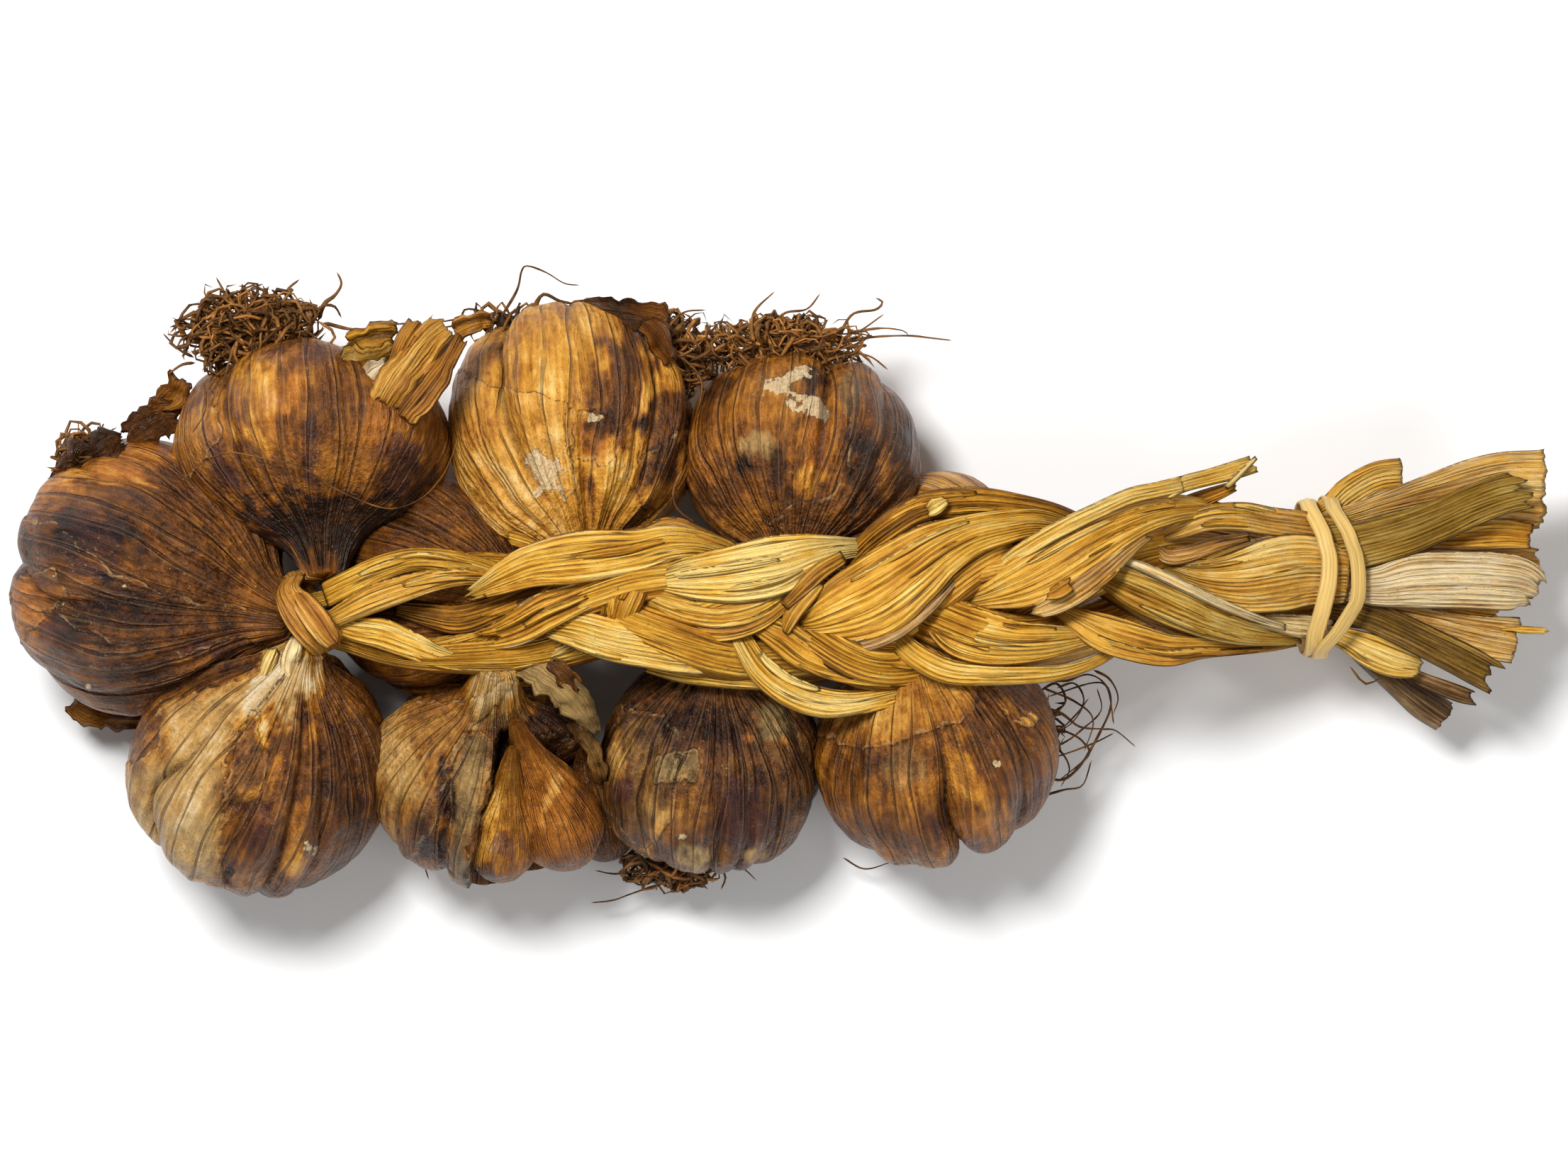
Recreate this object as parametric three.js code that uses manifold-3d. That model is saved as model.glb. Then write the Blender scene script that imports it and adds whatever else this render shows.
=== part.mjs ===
// A braid of smoke-dried garlic, lying on a table. Ten bulbs hang by their dried stalks from a
// three-strand plait. A wrapped stalk closes the plait at the bulbs' end and a raffia tie closes it
// at the other, where the cut leaf ends fan out.
//
// Millimetres. X runs along the plait from the bulbs to the leaf ends, Z is up, and the origin is
// on the table under the middle of the whole outline.
import * as THREE from "three";
import { mergeVertices } from "three/addons/utils/BufferGeometryUtils.js";
import Module from "manifold-3d";

const wasm = await Module();
wasm.setup();

// Driving dimensions.
const MIDDLE = { x: 0.02, y: -1.33 }; // of the whole outline, in the coordinates used below
const GAP = 0.35; // left between neighbouring pieces
const BIG_BULB = 31; // radius of the largest bulb
const NECK = 4.6; // radius of a bulb's dried neck
const PLAIT = { start: -102, end: 123.5 }; // the plait's reach along X
const TIE = { halfWidth: 15.6, halfHeight: 12.8, band: 3.4, thick: 0.9, centre: [117, 2.2, 27.2] };
const TIE_LOOPS = [{ lean: -2, ahead: -1.8 }, { lean: 10, ahead: 2 }]; // degrees off square, and along X
const WRAP = { inner: 7.6, thick: 1.6, band: 7.4, squash: 0.86, lean: 32, centre: [-101.7, -6.6, 47.2] };

// How finely the round shapes are faceted.
const STRAND_SIDES = 8;
const STRAND_STEPS = 19;
const LEAF_SIDES = 6;
const LEAF_STEPS = 2;
const BAND_SIDES = 16;
const CLOVE_SIDES = 10;
const FACETS_PER_CLOVE = 3;

const UP = new THREE.Vector3(0, 0, 1);
const BULB_AXIS = new THREE.Vector3(0, 1, 0);

const finishes = {
  bulb: new THREE.MeshStandardMaterial({ color: 0x8a5a2a, roughness: 0.42 }),
  clove: new THREE.MeshStandardMaterial({ color: 0x8f5526, roughness: 0.35 }),
  stalk: new THREE.MeshStandardMaterial({ color: 0xb98a45, roughness: 0.62 }),
  leaf: new THREE.MeshStandardMaterial({ color: 0xa8834c, roughness: 0.68 }),
  raffia: new THREE.MeshStandardMaterial({ color: 0xd2ac5c, roughness: 0.55 }),
  roots: new THREE.MeshStandardMaterial({ color: 0x4a3018, roughness: 0.85 }),
};

// ---- Curves that a whole family of pieces shares ---------------------------------------------

// The value at x of a line drawn through [x, value] stations.
function through(stations, x) {
  if (x <= stations[0][0]) return stations[0][1];
  const next = stations.findIndex(([at]) => at > x);
  if (next < 0) return stations.at(-1)[1];
  const [x0, v0] = stations[next - 1];
  const [x1, v1] = stations[next];
  return v0 + ((v1 - v0) * (x - x0)) / (x1 - x0);
}

// The same, with its corners rounded off over 20 mm.
function smoothly(stations, x) {
  const reach = [-10, -6, -2, 2, 6, 10];
  return reach.reduce((sum, d) => sum + through(stations, x + d), 0) / reach.length;
}

// The plait's middle line, how far its strands swing across and over, and how thick they are.
const plaitY = [
  [-100, -6.4], [-60, -5.2], [-25, -4.6], [0, -6.8],
  [20, -7.4], [45, -1.2], [70, 0.2], [120, 2.2],
];
const plaitZ = [[-100, 47], [-82, 52], [20, 50.5], [40, 49], [65, 43], [95, 33], [120, 27]];
const swingY = [
  [-100, 2.8], [-84, 9.6], [-60, 9.8], [-25, 8.4], [20, 10],
  [42, 12], [70, 10], [95, 8.8], [116, 6.6],
];
const swingZ = [[-100, 1.6], [-80, 3.4], [-50, 5.6], [80, 5.8], [110, 4.6]];
const strandHalfWidth = [[-100, 3.1], [-72, 4.4], [-55, 7], [-25, 8.2], [45, 8.8], [90, 8.4], [116, 7.8]];
const strandHalfHeight = [[-100, 1.7], [-72, 2.3], [-55, 3.9], [-25, 4.6], [80, 4.9], [120, 5.3]];

// Where each strand is in its swing, in degrees at each x: 0 crossing the middle upwards,
// 90 at the far edge, 180 crossing back, 270 at the near edge.
// Each next strand is about a third of a turn behind.
const strandBeats = {
  strand_1: [
    [-102, -50], [-74, -60], [-52, 0], [-18, 90], [3, 180],
    [24, 270], [58, 360], [90, 450], [118, 520],
  ],
  strand_2: [
    [-102, 60], [-70, 90], [-40, 180], [-8, 270], [27, 360],
    [56, 450], [74, 540], [103, 630], [120, 650],
  ],
  strand_3: [[-102, -80], [-62, -90], [-25, 0], [6, 90], [29, 180], [56, 270], [92, 360], [122, 430]],
};

// ---- Solids --------------------------------------------------------------------------------

// The bare shape, with the points that faces share merged.
function welded(geometry) {
  const bare = geometry.clone();
  bare.deleteAttribute("normal");
  bare.deleteAttribute("uv");
  return mergeVertices(bare, 1e-3);
}

function solidOf(geometry) {
  const merged = welded(geometry);
  return new wasm.Manifold(
    new wasm.Mesh({
      numProp: 3,
      vertProperties: merged.attributes.position.array,
      triVerts: new Uint32Array(merged.index.array),
    }),
  );
}

function geometryOf(solid) {
  const mesh = solid.getMesh();
  return new THREE.BufferGeometry()
    .setAttribute("position", new THREE.BufferAttribute(mesh.vertProperties, 3))
    .setIndex(new THREE.BufferAttribute(mesh.triVerts, 1));
}

// The same shape, grown outwards by the gap that its neighbours keep from it.
function grown(geometry) {
  const merged = welded(geometry);
  merged.computeVertexNormals();
  const point = merged.attributes.position;
  const normal = merged.attributes.normal;
  for (let i = 0; i < point.count; i += 1) {
    point.setXYZ(
      i,
      point.getX(i) + GAP * normal.getX(i),
      point.getY(i) + GAP * normal.getY(i),
      point.getZ(i) + GAP * normal.getZ(i),
    );
  }
  return merged;
}

// ---- Bulbs ---------------------------------------------------------------------------------

// Radius and height above the widest ring, as shares of the bulb's radius, from the hollow under
// the root plate up to where the neck begins.
const BULB_PROFILE = [
  [0, -0.6], [0.4, -0.68], [0.82, -0.5], [1, 0], [0.9, 0.45], [0.6, 0.84], [0.28, 1.24],
];

// A bulb from its centre to the end of its neck, with its cloves showing as lobes. base and crown
// stretch its height below and above the widest ring.
function bulb({ centre, neck, radius, base = 1, crown = 1, cloves = 6, turn = 0, depth = 0.12 }) {
  const axis = new THREE.Vector3(...neck).sub(new THREE.Vector3(...centre));
  const reach = axis.length();
  const profile = BULB_PROFILE.map(
    ([r, h]) => new THREE.Vector2(r * radius, h * radius * (h < 0 ? base : crown)),
  ).filter((point) => point.y < reach - 1);
  const neckRadius = Math.min(NECK, profile.at(-1).x);
  profile.push(new THREE.Vector2(neckRadius, reach), new THREE.Vector2(0, reach));
  const geometry = new THREE.LatheGeometry(profile, cloves * FACETS_PER_CLOVE);
  const point = geometry.attributes.position;
  for (let i = 0; i < point.count; i += 1) {
    const angle = Math.atan2(point.getZ(i), point.getX(i));
    const high = point.getY(i) / (radius * crown);
    const fade = 1 - THREE.MathUtils.smoothstep(high, 0.1, 0.95);
    const valley = Math.cos((cloves * angle) / 2) ** 2;
    const share = 1 - depth * fade * valley;
    point.setX(i, point.getX(i) * share);
    point.setZ(i, point.getZ(i) * share);
  }
  const facing = new THREE.Quaternion().setFromUnitVectors(BULB_AXIS, axis.normalize());
  return geometry
    .rotateY(turn)
    .applyQuaternion(facing)
    .translate(...centre);
}

// A loose clove: a pointed drop, fatter on one side.
function clove({ root, tip, radius, flat = 0.85 }) {
  const axis = new THREE.Vector3(...tip).sub(new THREE.Vector3(...root));
  const length = axis.length();
  const shares = [[0, 0], [0.62, 0.05], [1, 0.34], [0.86, 0.62], [0.42, 0.88], [0, 1]];
  const profile = shares.map(([r, h]) => new THREE.Vector2(r * radius, h * length));
  const facing = new THREE.Quaternion().setFromUnitVectors(BULB_AXIS, axis.normalize());
  return new THREE.LatheGeometry(profile, CLOVE_SIDES)
    .scale(1, 1, flat)
    .applyQuaternion(facing)
    .translate(...root);
}

// ---- Strands, leaves and bands -------------------------------------------------------------

// A cylinder bent along route(t), flattened to size(t) = [half width, half height, roll].
function bent(route, size, sides, steps) {
  const geometry = new THREE.CylinderGeometry(1, 1, 1, sides, steps);
  const point = geometry.attributes.position;
  const place = new THREE.Vector3();
  for (let i = 0; i < point.count; i += 1) {
    const t = point.getY(i) + 0.5;
    const [halfWidth, halfHeight, roll = 0] = size(t);
    const ahead = route(Math.min(t + 0.01, 1)).sub(route(Math.max(t - 0.01, 0))).normalize();
    const side = new THREE.Vector3().crossVectors(UP, ahead).normalize().applyAxisAngle(ahead, roll);
    const over = new THREE.Vector3().crossVectors(ahead, side);
    place
      .copy(route(t))
      .addScaledVector(side, point.getX(i) * halfWidth)
      .addScaledVector(over, -point.getZ(i) * halfHeight);
    point.setXYZ(i, place.x, place.y, place.z);
  }
  return geometry;
}

function strand(beats) {
  const alongX = (t) => THREE.MathUtils.lerp(PLAIT.start, PLAIT.end, t);
  const route = (t) => {
    const x = alongX(t);
    const phase = THREE.MathUtils.degToRad(smoothly(beats, x));
    return new THREE.Vector3(
      x,
      smoothly(plaitY, x) + smoothly(swingY, x) * Math.sin(phase),
      smoothly(plaitZ, x) + smoothly(swingZ, x) * Math.sin(2 * phase),
    );
  };
  const size = (t) => [smoothly(strandHalfWidth, alongX(t)), smoothly(strandHalfHeight, alongX(t))];
  return bent(route, size, STRAND_SIDES, STRAND_STEPS);
}

// A dried leaf or a cut stalk: flat, on a slight curve from its root to its tip.
function leaf({ root, tip, wide, thick, lift = 0, roll = 0 }) {
  const from = new THREE.Vector3(...root);
  const to = new THREE.Vector3(...tip);
  const route = (t) => from.clone().lerp(to, t).addScaledVector(UP, lift * Math.sin(Math.PI * t));
  const size = (t) => [
    THREE.MathUtils.lerp(wide[0], wide[1], t),
    THREE.MathUtils.lerp(thick[0], thick[1], t),
    roll,
  ];
  return bent(route, size, LEAF_SIDES, LEAF_STEPS);
}

// A flat band round the Y axis.
function band({ inner, thick, width }) {
  const outer = inner + thick;
  const profile = [
    [inner, -width / 2], [outer, -width / 2], [outer, width / 2], [inner, width / 2], [inner, -width / 2],
  ].map(([r, h]) => new THREE.Vector2(r, h));
  return new THREE.LatheGeometry(profile, BAND_SIDES);
}

// The stalk wound once round the necks where the plait begins.
function wrappedStalk() {
  return band({ inner: WRAP.inner, thick: WRAP.thick, width: WRAP.band })
    .scale(1, 1, WRAP.squash)
    .rotateZ(THREE.MathUtils.degToRad(WRAP.lean) - Math.PI / 2)
    .translate(...WRAP.centre);
}

// One raffia strip wound twice: two loops that cross at the near edge.
function raffiaTie() {
  const [first, second] = TIE_LOOPS.map(({ lean, ahead }) =>
    band({ inner: TIE.halfWidth, thick: TIE.thick, width: TIE.band })
      .scale(1, 1, TIE.halfHeight / TIE.halfWidth)
      .rotateZ(THREE.MathUtils.degToRad(lean) - Math.PI / 2)
      .translate(ahead, 0, 0)
      .translate(...TIE.centre),
  );
  return geometryOf(solidOf(first).add(solidOf(second)));
}

// ---- Roots and torn skins ------------------------------------------------------------------

// The outer shape of a tuft of roots, which is many thin fibres.
function tuft({ centre, size, tilt = 0 }) {
  return new THREE.SphereGeometry(1, 8, 4)
    .scale(...size)
    .rotateZ(tilt)
    .translate(...centre);
}

// ---- The pieces, nearest the eye first, because each is cut back from those before it --------

const bulbs = {
  bulb_2: { centre: [-102.5, 32.3, 35], neck: [-99.2, 3, 46], radius: 30, crown: 0.78, turn: 0.5 },
  bulb_1: { centre: [-143.2, 1.9, 27.6], neck: [-107, -6.5, 46.5], radius: BIG_BULB, cloves: 7, turn: 0.2 },
  bulb_5: { centre: [-115.8, -40.8, 26.2], neck: [-103.4, -13.4, 47], radius: 29, cloves: 7, depth: 0.14 },
  bulb_3: {
    centre: [-46.8, 38.6, 25.8], neck: [-42.2, 3, 45], radius: 27.4,
    base: 1.15, crown: 1.1, turn: 0.3,
  },
  bulb_4: { centre: [3.9, 30.4, 24.2], neck: [1.7, 1, 43], radius: 27, crown: 0.9, depth: 0.15, turn: 0.8 },
  bulb_6: { centre: [-66.5, -41.8, 23.6], neck: [-59.5, -16.5, 46], radius: 26.3, cloves: 7, depth: 0.16 },
  bulb_7: { centre: [-16.6, -41, 22.4], neck: [-14.5, -9, 43], radius: 24.6, crown: 1.05, cloves: 7 },
  bulb_8: { centre: [33.9, -38.2, 25], neck: [27, -10, 43], radius: 28, crown: 0.95, depth: 0.17 },
  bulb_9: { centre: [-78, 0.6, 22], neck: [-50, -6, 43], radius: 24.4, turn: 0.4 },
  bulb_10: { centre: [33.4, 6, 17.8], neck: [57, 0, 36], radius: 20.4, cloves: 5, turn: 0.2 },
};

const looseCloves = {
  clove_1: { root: [-61.2, -64.5, 26], tip: [-57.4, -32.4, 41.5], radius: 8.2 },
  clove_2: { root: [-47, -61, 22], tip: [-57, -30.8, 40], radius: 10.4 },
  clove_3: { root: [-38.6, -59, 13], tip: [-44, -34, 28], radius: 7.6 },
};

// Leaves and stalk ends past the tie. Each runs from its root, inside the bundle, to its cut tip.
const bundle = {
  leaf_olive: { root: [124.2, 6, 37.5], tip: [162, 23, 43], wide: [5.6, 4.4], thick: [1, 0.8], lift: 1 },
  leaf_pale: { root: [124.2, -2.5, 36.6], tip: [165, 1, 37], wide: [6, 6.8], thick: [1.3, 1.1] },
  leaf_top: { root: [124.2, 10, 33], tip: [163, 25.5, 36.5], wide: [4.6, 7.6], thick: [1.4, 1.2] },
  leaf_dark: { root: [124.2, -8, 34], tip: [158.5, -19.2, 34], wide: [3.2, 4.6], thick: [1.2, 1] },
  leaf_curl: { root: [124.2, -10.2, 30.8], tip: [140, -17.4, 31], wide: [3.2, 4.6], thick: [1.2, 1.6] },
  leaf_brown: { root: [124.2, 5, 33], tip: [162, 11, 33], wide: [4, 4.6], thick: [1.2, 1.1] },
  leaf_tan: { root: [124.2, -4.4, 32.6], tip: [161.4, -12.4, 30], wide: [4.6, 5.6], thick: [1.3, 1.2] },
  leaf_slate: { root: [124.2, -9, 26.5], tip: [153, -24.4, 25], wide: [3, 2.6], thick: [1.2, 1] },
  leaf_stub: { root: [118.5, 17.4, 25], tip: [134.4, 25.8, 22], wide: [2.6, 4.4], thick: [1.4, 1.8] },
  leaf_end: { root: [124.2, 8, 29], tip: [167.6, 18, 28], wide: [4, 5.6], thick: [1.4, 1.3] },
  leaf_wide: { root: [124.2, 0.5, 28.5], tip: [167.3, 3, 22], wide: [5, 6.6], thick: [1.5, 1.4] },
  leaf_low: { root: [124.2, 5.5, 22.6], tip: [161.6, 10.6, 11.6], wide: [4.6, 6], thick: [1.4, 1.3] },
  leaf_under: { root: [124.2, -4, 22.6], tip: [159.6, -9, 12.6], wide: [4.6, 6], thick: [1.4, 1.3] },
  stalk_end: { root: [124.2, -9, 21.5], tip: [147.6, -29, 17.5], wide: [2.6, 4], thick: [2, 2.6] },
};

const stubs = {
  stalk_tip: { root: [83, 15.6, 40], tip: [102, 26.4, 38], wide: [3.6, 2.6], thick: [1.1, 2.2] },
  cut_stalk: {
    root: [-85.6, 35.4, 61.5], tip: [-70.2, 57, 50], wide: [5.2, 5.6],
    thick: [2.2, 1.5], roll: 0.25,
  },
  neck_stub: { root: [-104, -12.6, 51.6], tip: [-103.4, -20.8, 51], wide: [2.2, 2.6], thick: [1.6, 1.9] },
  side_stub: { root: [-52, 9.5, 39], tip: [-59.6, 11.8, 40], wide: [3, 3.6], thick: [2.2, 2.4] },
};

const tornSkins = {
  skin_curl: {
    root: [-51.6, -18.4, 46.4], tip: [-45.6, -29.4, 42.4], wide: [4.4, 4.8],
    thick: [1.3, 1.5], roll: -0.3,
  },
  skin_strip: {
    root: [-46.6, -30.6, 41.4], tip: [-39.4, -43, 33], wide: [2.2, 2],
    thick: [0.8, 0.7], roll: -0.4,
  },
  skin_crown: { root: [-40.6, 59, 36], tip: [-23.6, 57, 34], wide: [3.8, 4.6], thick: [1.1, 1.2], lift: 2 },
  skin_heel: { root: [-157, -24.6, 14], tip: [-146, -28, 12], wide: [3.2, 2.6], thick: [0.8, 0.8] },
  skin_cheek: { root: [-140.6, 35, 33], tip: [-133, 37.4, 34], wide: [2.8, 2.4], thick: [1, 1] },
};

const tufts = {
  roots_1: { centre: [-152.6, 26.6, 34], size: [5, 7, 5], tilt: -0.5 },
  roots_2: { centre: [-114.6, 57.6, 36], size: [15.6, 8.4, 9], tilt: -0.2 },
  roots_3: { centre: [-25.5, 51.4, 24], size: [7, 8.6, 7], tilt: 0.4 },
  roots_3b: { centre: [-60.4, 57.8, 26], size: [7.4, 4, 4] },
  roots_4: { centre: [-0.6, 53.4, 24], size: [18, 6.4, 8], tilt: 0.06 },
  roots_7: { centre: [-27.6, -61, 15], size: [10, 6.6, 7], tilt: -0.5 },
  roots_8: { centre: [61.2, -29.4, 21], size: [7.6, 9.4, 6] },
};

const pieces = [];

function addEach(table, make, finish) {
  Object.entries(table).forEach(([name, spec]) => pieces.push({ name, geometry: make(spec), finish }));
}

addEach({ raffia_tie: {} }, raffiaTie, finishes.raffia);
addEach({ wrapped_stalk: {} }, wrappedStalk, finishes.stalk);
addEach(strandBeats, strand, finishes.stalk);
addEach(bundle, leaf, finishes.leaf);
addEach(stubs, leaf, finishes.stalk);
addEach(looseCloves, clove, finishes.clove);
addEach(bulbs, bulb, finishes.bulb);
addEach(tornSkins, leaf, finishes.leaf);
addEach(tufts, tuft, finishes.roots);

// ---- Fitting the pieces together -------------------------------------------------------------

const TABLE_ROOM = 600;
const aboveTable = solidOf(
  new THREE.BoxGeometry(TABLE_ROOM, TABLE_ROOM, TABLE_ROOM).translate(0, 0, TABLE_ROOM / 2),
);

function largestOf(solid) {
  return solid.decompose().reduce((most, one) => (one.volume() > most.volume() ? one : most));
}

const braid = new THREE.Group();
braid.name = "garlic_braid";
braid.position.set(-MIDDLE.x, -MIDDLE.y, 0);

const earlier = [];
pieces.forEach(({ name, geometry, finish }) => {
  geometry.computeBoundingBox();
  let solid = solidOf(geometry).intersect(aboveTable);
  earlier
    .filter(({ box }) => box.intersectsBox(geometry.boundingBox))
    .forEach(({ room }) => {
      solid = solid.subtract(room);
    });
  const mesh = new THREE.Mesh(geometryOf(largestOf(solid)), finish);
  mesh.name = name;
  braid.add(mesh);
  const room = grown(geometry);
  room.computeBoundingBox();
  earlier.push({ room: solidOf(room), box: room.boundingBox });
});

export default braid;
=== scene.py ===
"""A braid of smoked garlic: bulbs, loose cloves, a plait of dried stalks, a fan of leaf ends and roots."""

import math

import bmesh
import bpy
import numpy as np
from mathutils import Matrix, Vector


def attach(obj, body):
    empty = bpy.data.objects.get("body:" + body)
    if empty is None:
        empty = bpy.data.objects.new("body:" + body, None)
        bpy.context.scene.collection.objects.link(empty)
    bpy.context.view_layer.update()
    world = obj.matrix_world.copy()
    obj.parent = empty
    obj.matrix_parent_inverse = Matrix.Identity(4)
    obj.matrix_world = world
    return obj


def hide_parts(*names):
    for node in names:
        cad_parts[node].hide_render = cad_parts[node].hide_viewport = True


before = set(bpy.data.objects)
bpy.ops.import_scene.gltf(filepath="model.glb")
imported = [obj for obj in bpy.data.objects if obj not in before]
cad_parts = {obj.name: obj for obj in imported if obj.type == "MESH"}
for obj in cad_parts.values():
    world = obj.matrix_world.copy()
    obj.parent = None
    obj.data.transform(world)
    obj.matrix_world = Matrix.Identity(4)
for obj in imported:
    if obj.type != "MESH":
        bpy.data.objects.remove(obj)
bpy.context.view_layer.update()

bl_info = {
    "name": "Garlic Braid",
    "version": (1, 0, 0),
    "blender": (4, 5, 0),
    "location": "View3D > Sidebar > Garlic Braid",
    "description": "Makes the skins, leaves, roots and ties of a braid of smoked garlic",
    "category": "Add Mesh",
}

MM = 0.001
SEAM = 0.006  # Points closer than this, in mm, are joined.
FLOOR_GAP = 0.05  # Leaves and roots stay this far over the floor, in mm.
NO_EDGE = -9.0  # The edge mark of skin that is far from a torn edge.
# The layout tables are in millimetres from the middle of the sheet; this moves them to the row frame.
SHEET = np.array([-0.02, 1.33, 0.0])
UP = np.array([0.0, 0.0, 1.0])


# ---------------------------------------------------------------- numbers and shapes


def smooth(x):
    """An eased step from 0 to 1."""
    x = np.clip(x, 0, 1)
    return x * x * (3 - 2 * x)


def unit(v):
    """The vector, or each row of an array, at length 1."""
    v = np.asarray(v, float)
    return v / np.maximum(np.linalg.norm(v, axis=-1, keepdims=True), 1e-9)


def scatter(cells, seed):
    """A repeatable random number from -1 to 1 for each whole-number cell."""
    x = cells[..., 0] * 374761393 + cells[..., 1] * 668265263 + cells[..., 2] * 1442695041 + seed * 1274126177
    x = x & 0xFFFFFFFF
    x = ((x ^ (x >> 13)) * 1274126177) & 0xFFFFFFFF
    return (x ^ (x >> 16)) / 2147483647.5 - 1


def lumps(points, seed=0):
    """Smooth noise from about -1 to 1, with one lump to each unit of distance."""
    base = np.floor(points).astype(np.int64)
    part = points - base
    fade = part * part * (3 - 2 * part)
    total = np.zeros(len(points))
    for corner in range(8):
        step = np.array([corner & 1, corner >> 1 & 1, corner >> 2])
        weight = np.prod(np.where(step, fade, 1 - fade), axis=1)
        total += weight * scatter(base + step, seed)
    return total * 1.35


def crumple(points, seed=0, octaves=3):
    """Lumps with smaller lumps on them, still from about -1 to 1."""
    total = sum(lumps(points * 2 ** k, seed + 11 * k) * 0.5 ** k for k in range(octaves))
    return total / (2 - 0.5 ** (octaves - 1))


def columns(*values):
    """Single numbers and arrays side by side, as the columns of one array."""
    return np.column_stack(np.broadcast_arrays(*[np.asarray(v, float) for v in values]))


def curve(points, count):
    """A smooth line through the points, at evenly spaced places. Further columns go along with the places."""
    points = np.asarray(points, float)
    ends = np.vstack([2 * points[0] - points[1], points, 2 * points[-1] - points[-2]])
    t = np.linspace(0, 1, 16, endpoint=False)[:, None]
    runs = [
        0.5 * (2 * b + (c - a) * t + (2 * a - 5 * b + 4 * c - d) * t ** 2 + (3 * b - a - 3 * c + d) * t ** 3)
        for a, b, c, d in zip(ends, ends[1:], ends[2:], ends[3:])
    ]
    fine = np.vstack(runs + [points[-1:]])
    steps = np.linalg.norm(np.diff(fine[:, :3], axis=0), axis=1)
    length = np.concatenate([[0], np.cumsum(steps)])
    places = np.linspace(0, length[-1], count)
    return np.column_stack([np.interp(places, length, column) for column in fine.T])


def sample(table, place):
    """Rows of a table at row numbers that may lie between two rows."""
    rank = np.arange(len(table))
    return np.column_stack([np.interp(place, rank, column) for column in table.T])


def places_of(mesh):
    co = np.zeros(len(mesh.vertices) * 3, np.float32)
    mesh.vertices.foreach_get("co", co)
    return co.reshape(-1, 3).astype(float)


def store(mesh, marks):
    """Writes named numbers or vectors on the mesh's points, for its material to read."""
    for key, values in marks.items():
        values = np.asarray(values, np.float32)
        kind = "FLOAT" if values.ndim == 1 else "FLOAT_VECTOR"
        layer = mesh.attributes.new(key, kind, "POINT")
        layer.data.foreach_set("value" if values.ndim == 1 else "vector", values.ravel())


def piece_of(name, mesh, material, nodes):
    """Puts a finished mesh in the scene: it rides on the braid's body and stands for its CAD solids."""
    mesh.polygons.foreach_set("use_smooth", np.ones(len(mesh.polygons), bool))
    mesh.materials.append(material)
    obj = bpy.data.objects.new(name, mesh)
    bpy.context.scene.collection.objects.link(obj)
    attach(obj, "root")
    if nodes:
        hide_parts(*nodes)
    return obj


def rolled(name, sheets):
    """Grids shaped by formula and closed along their seams. Each sheet is (around, along, shape)."""
    work = bmesh.new()
    counts = [
        len(bmesh.ops.create_grid(work, x_segments=around, y_segments=along, size=1)["verts"])
        for around, along, _ in sheets
    ]
    mesh = bpy.data.meshes.new(name)
    work.to_mesh(mesh)
    work.free()
    flat = (places_of(mesh) + 1) / 2
    spots = np.zeros_like(flat)
    marks = {}
    start = 0
    for (_, _, shape), count in zip(sheets, counts):
        part = slice(start, start + count)
        spots[part], found = shape(flat[part, 0], flat[part, 1])
        for key, values in found.items():
            values = np.asarray(values, float)
            wide = (len(flat),) + values.shape[1:] if values.ndim > 1 else (len(flat),)
            marks.setdefault(key, np.zeros(wide))[part] = values
        start += count
    mesh.vertices.foreach_set("co", ((spots + SHEET) * MM).astype(np.float32).ravel())
    store(mesh, marks)
    work = bmesh.new()
    work.from_mesh(mesh)
    bmesh.ops.remove_doubles(work, verts=work.verts, dist=SEAM * MM)
    work.to_mesh(mesh)
    work.free()
    return mesh


# ---------------------------------------------------------------- materials


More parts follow.
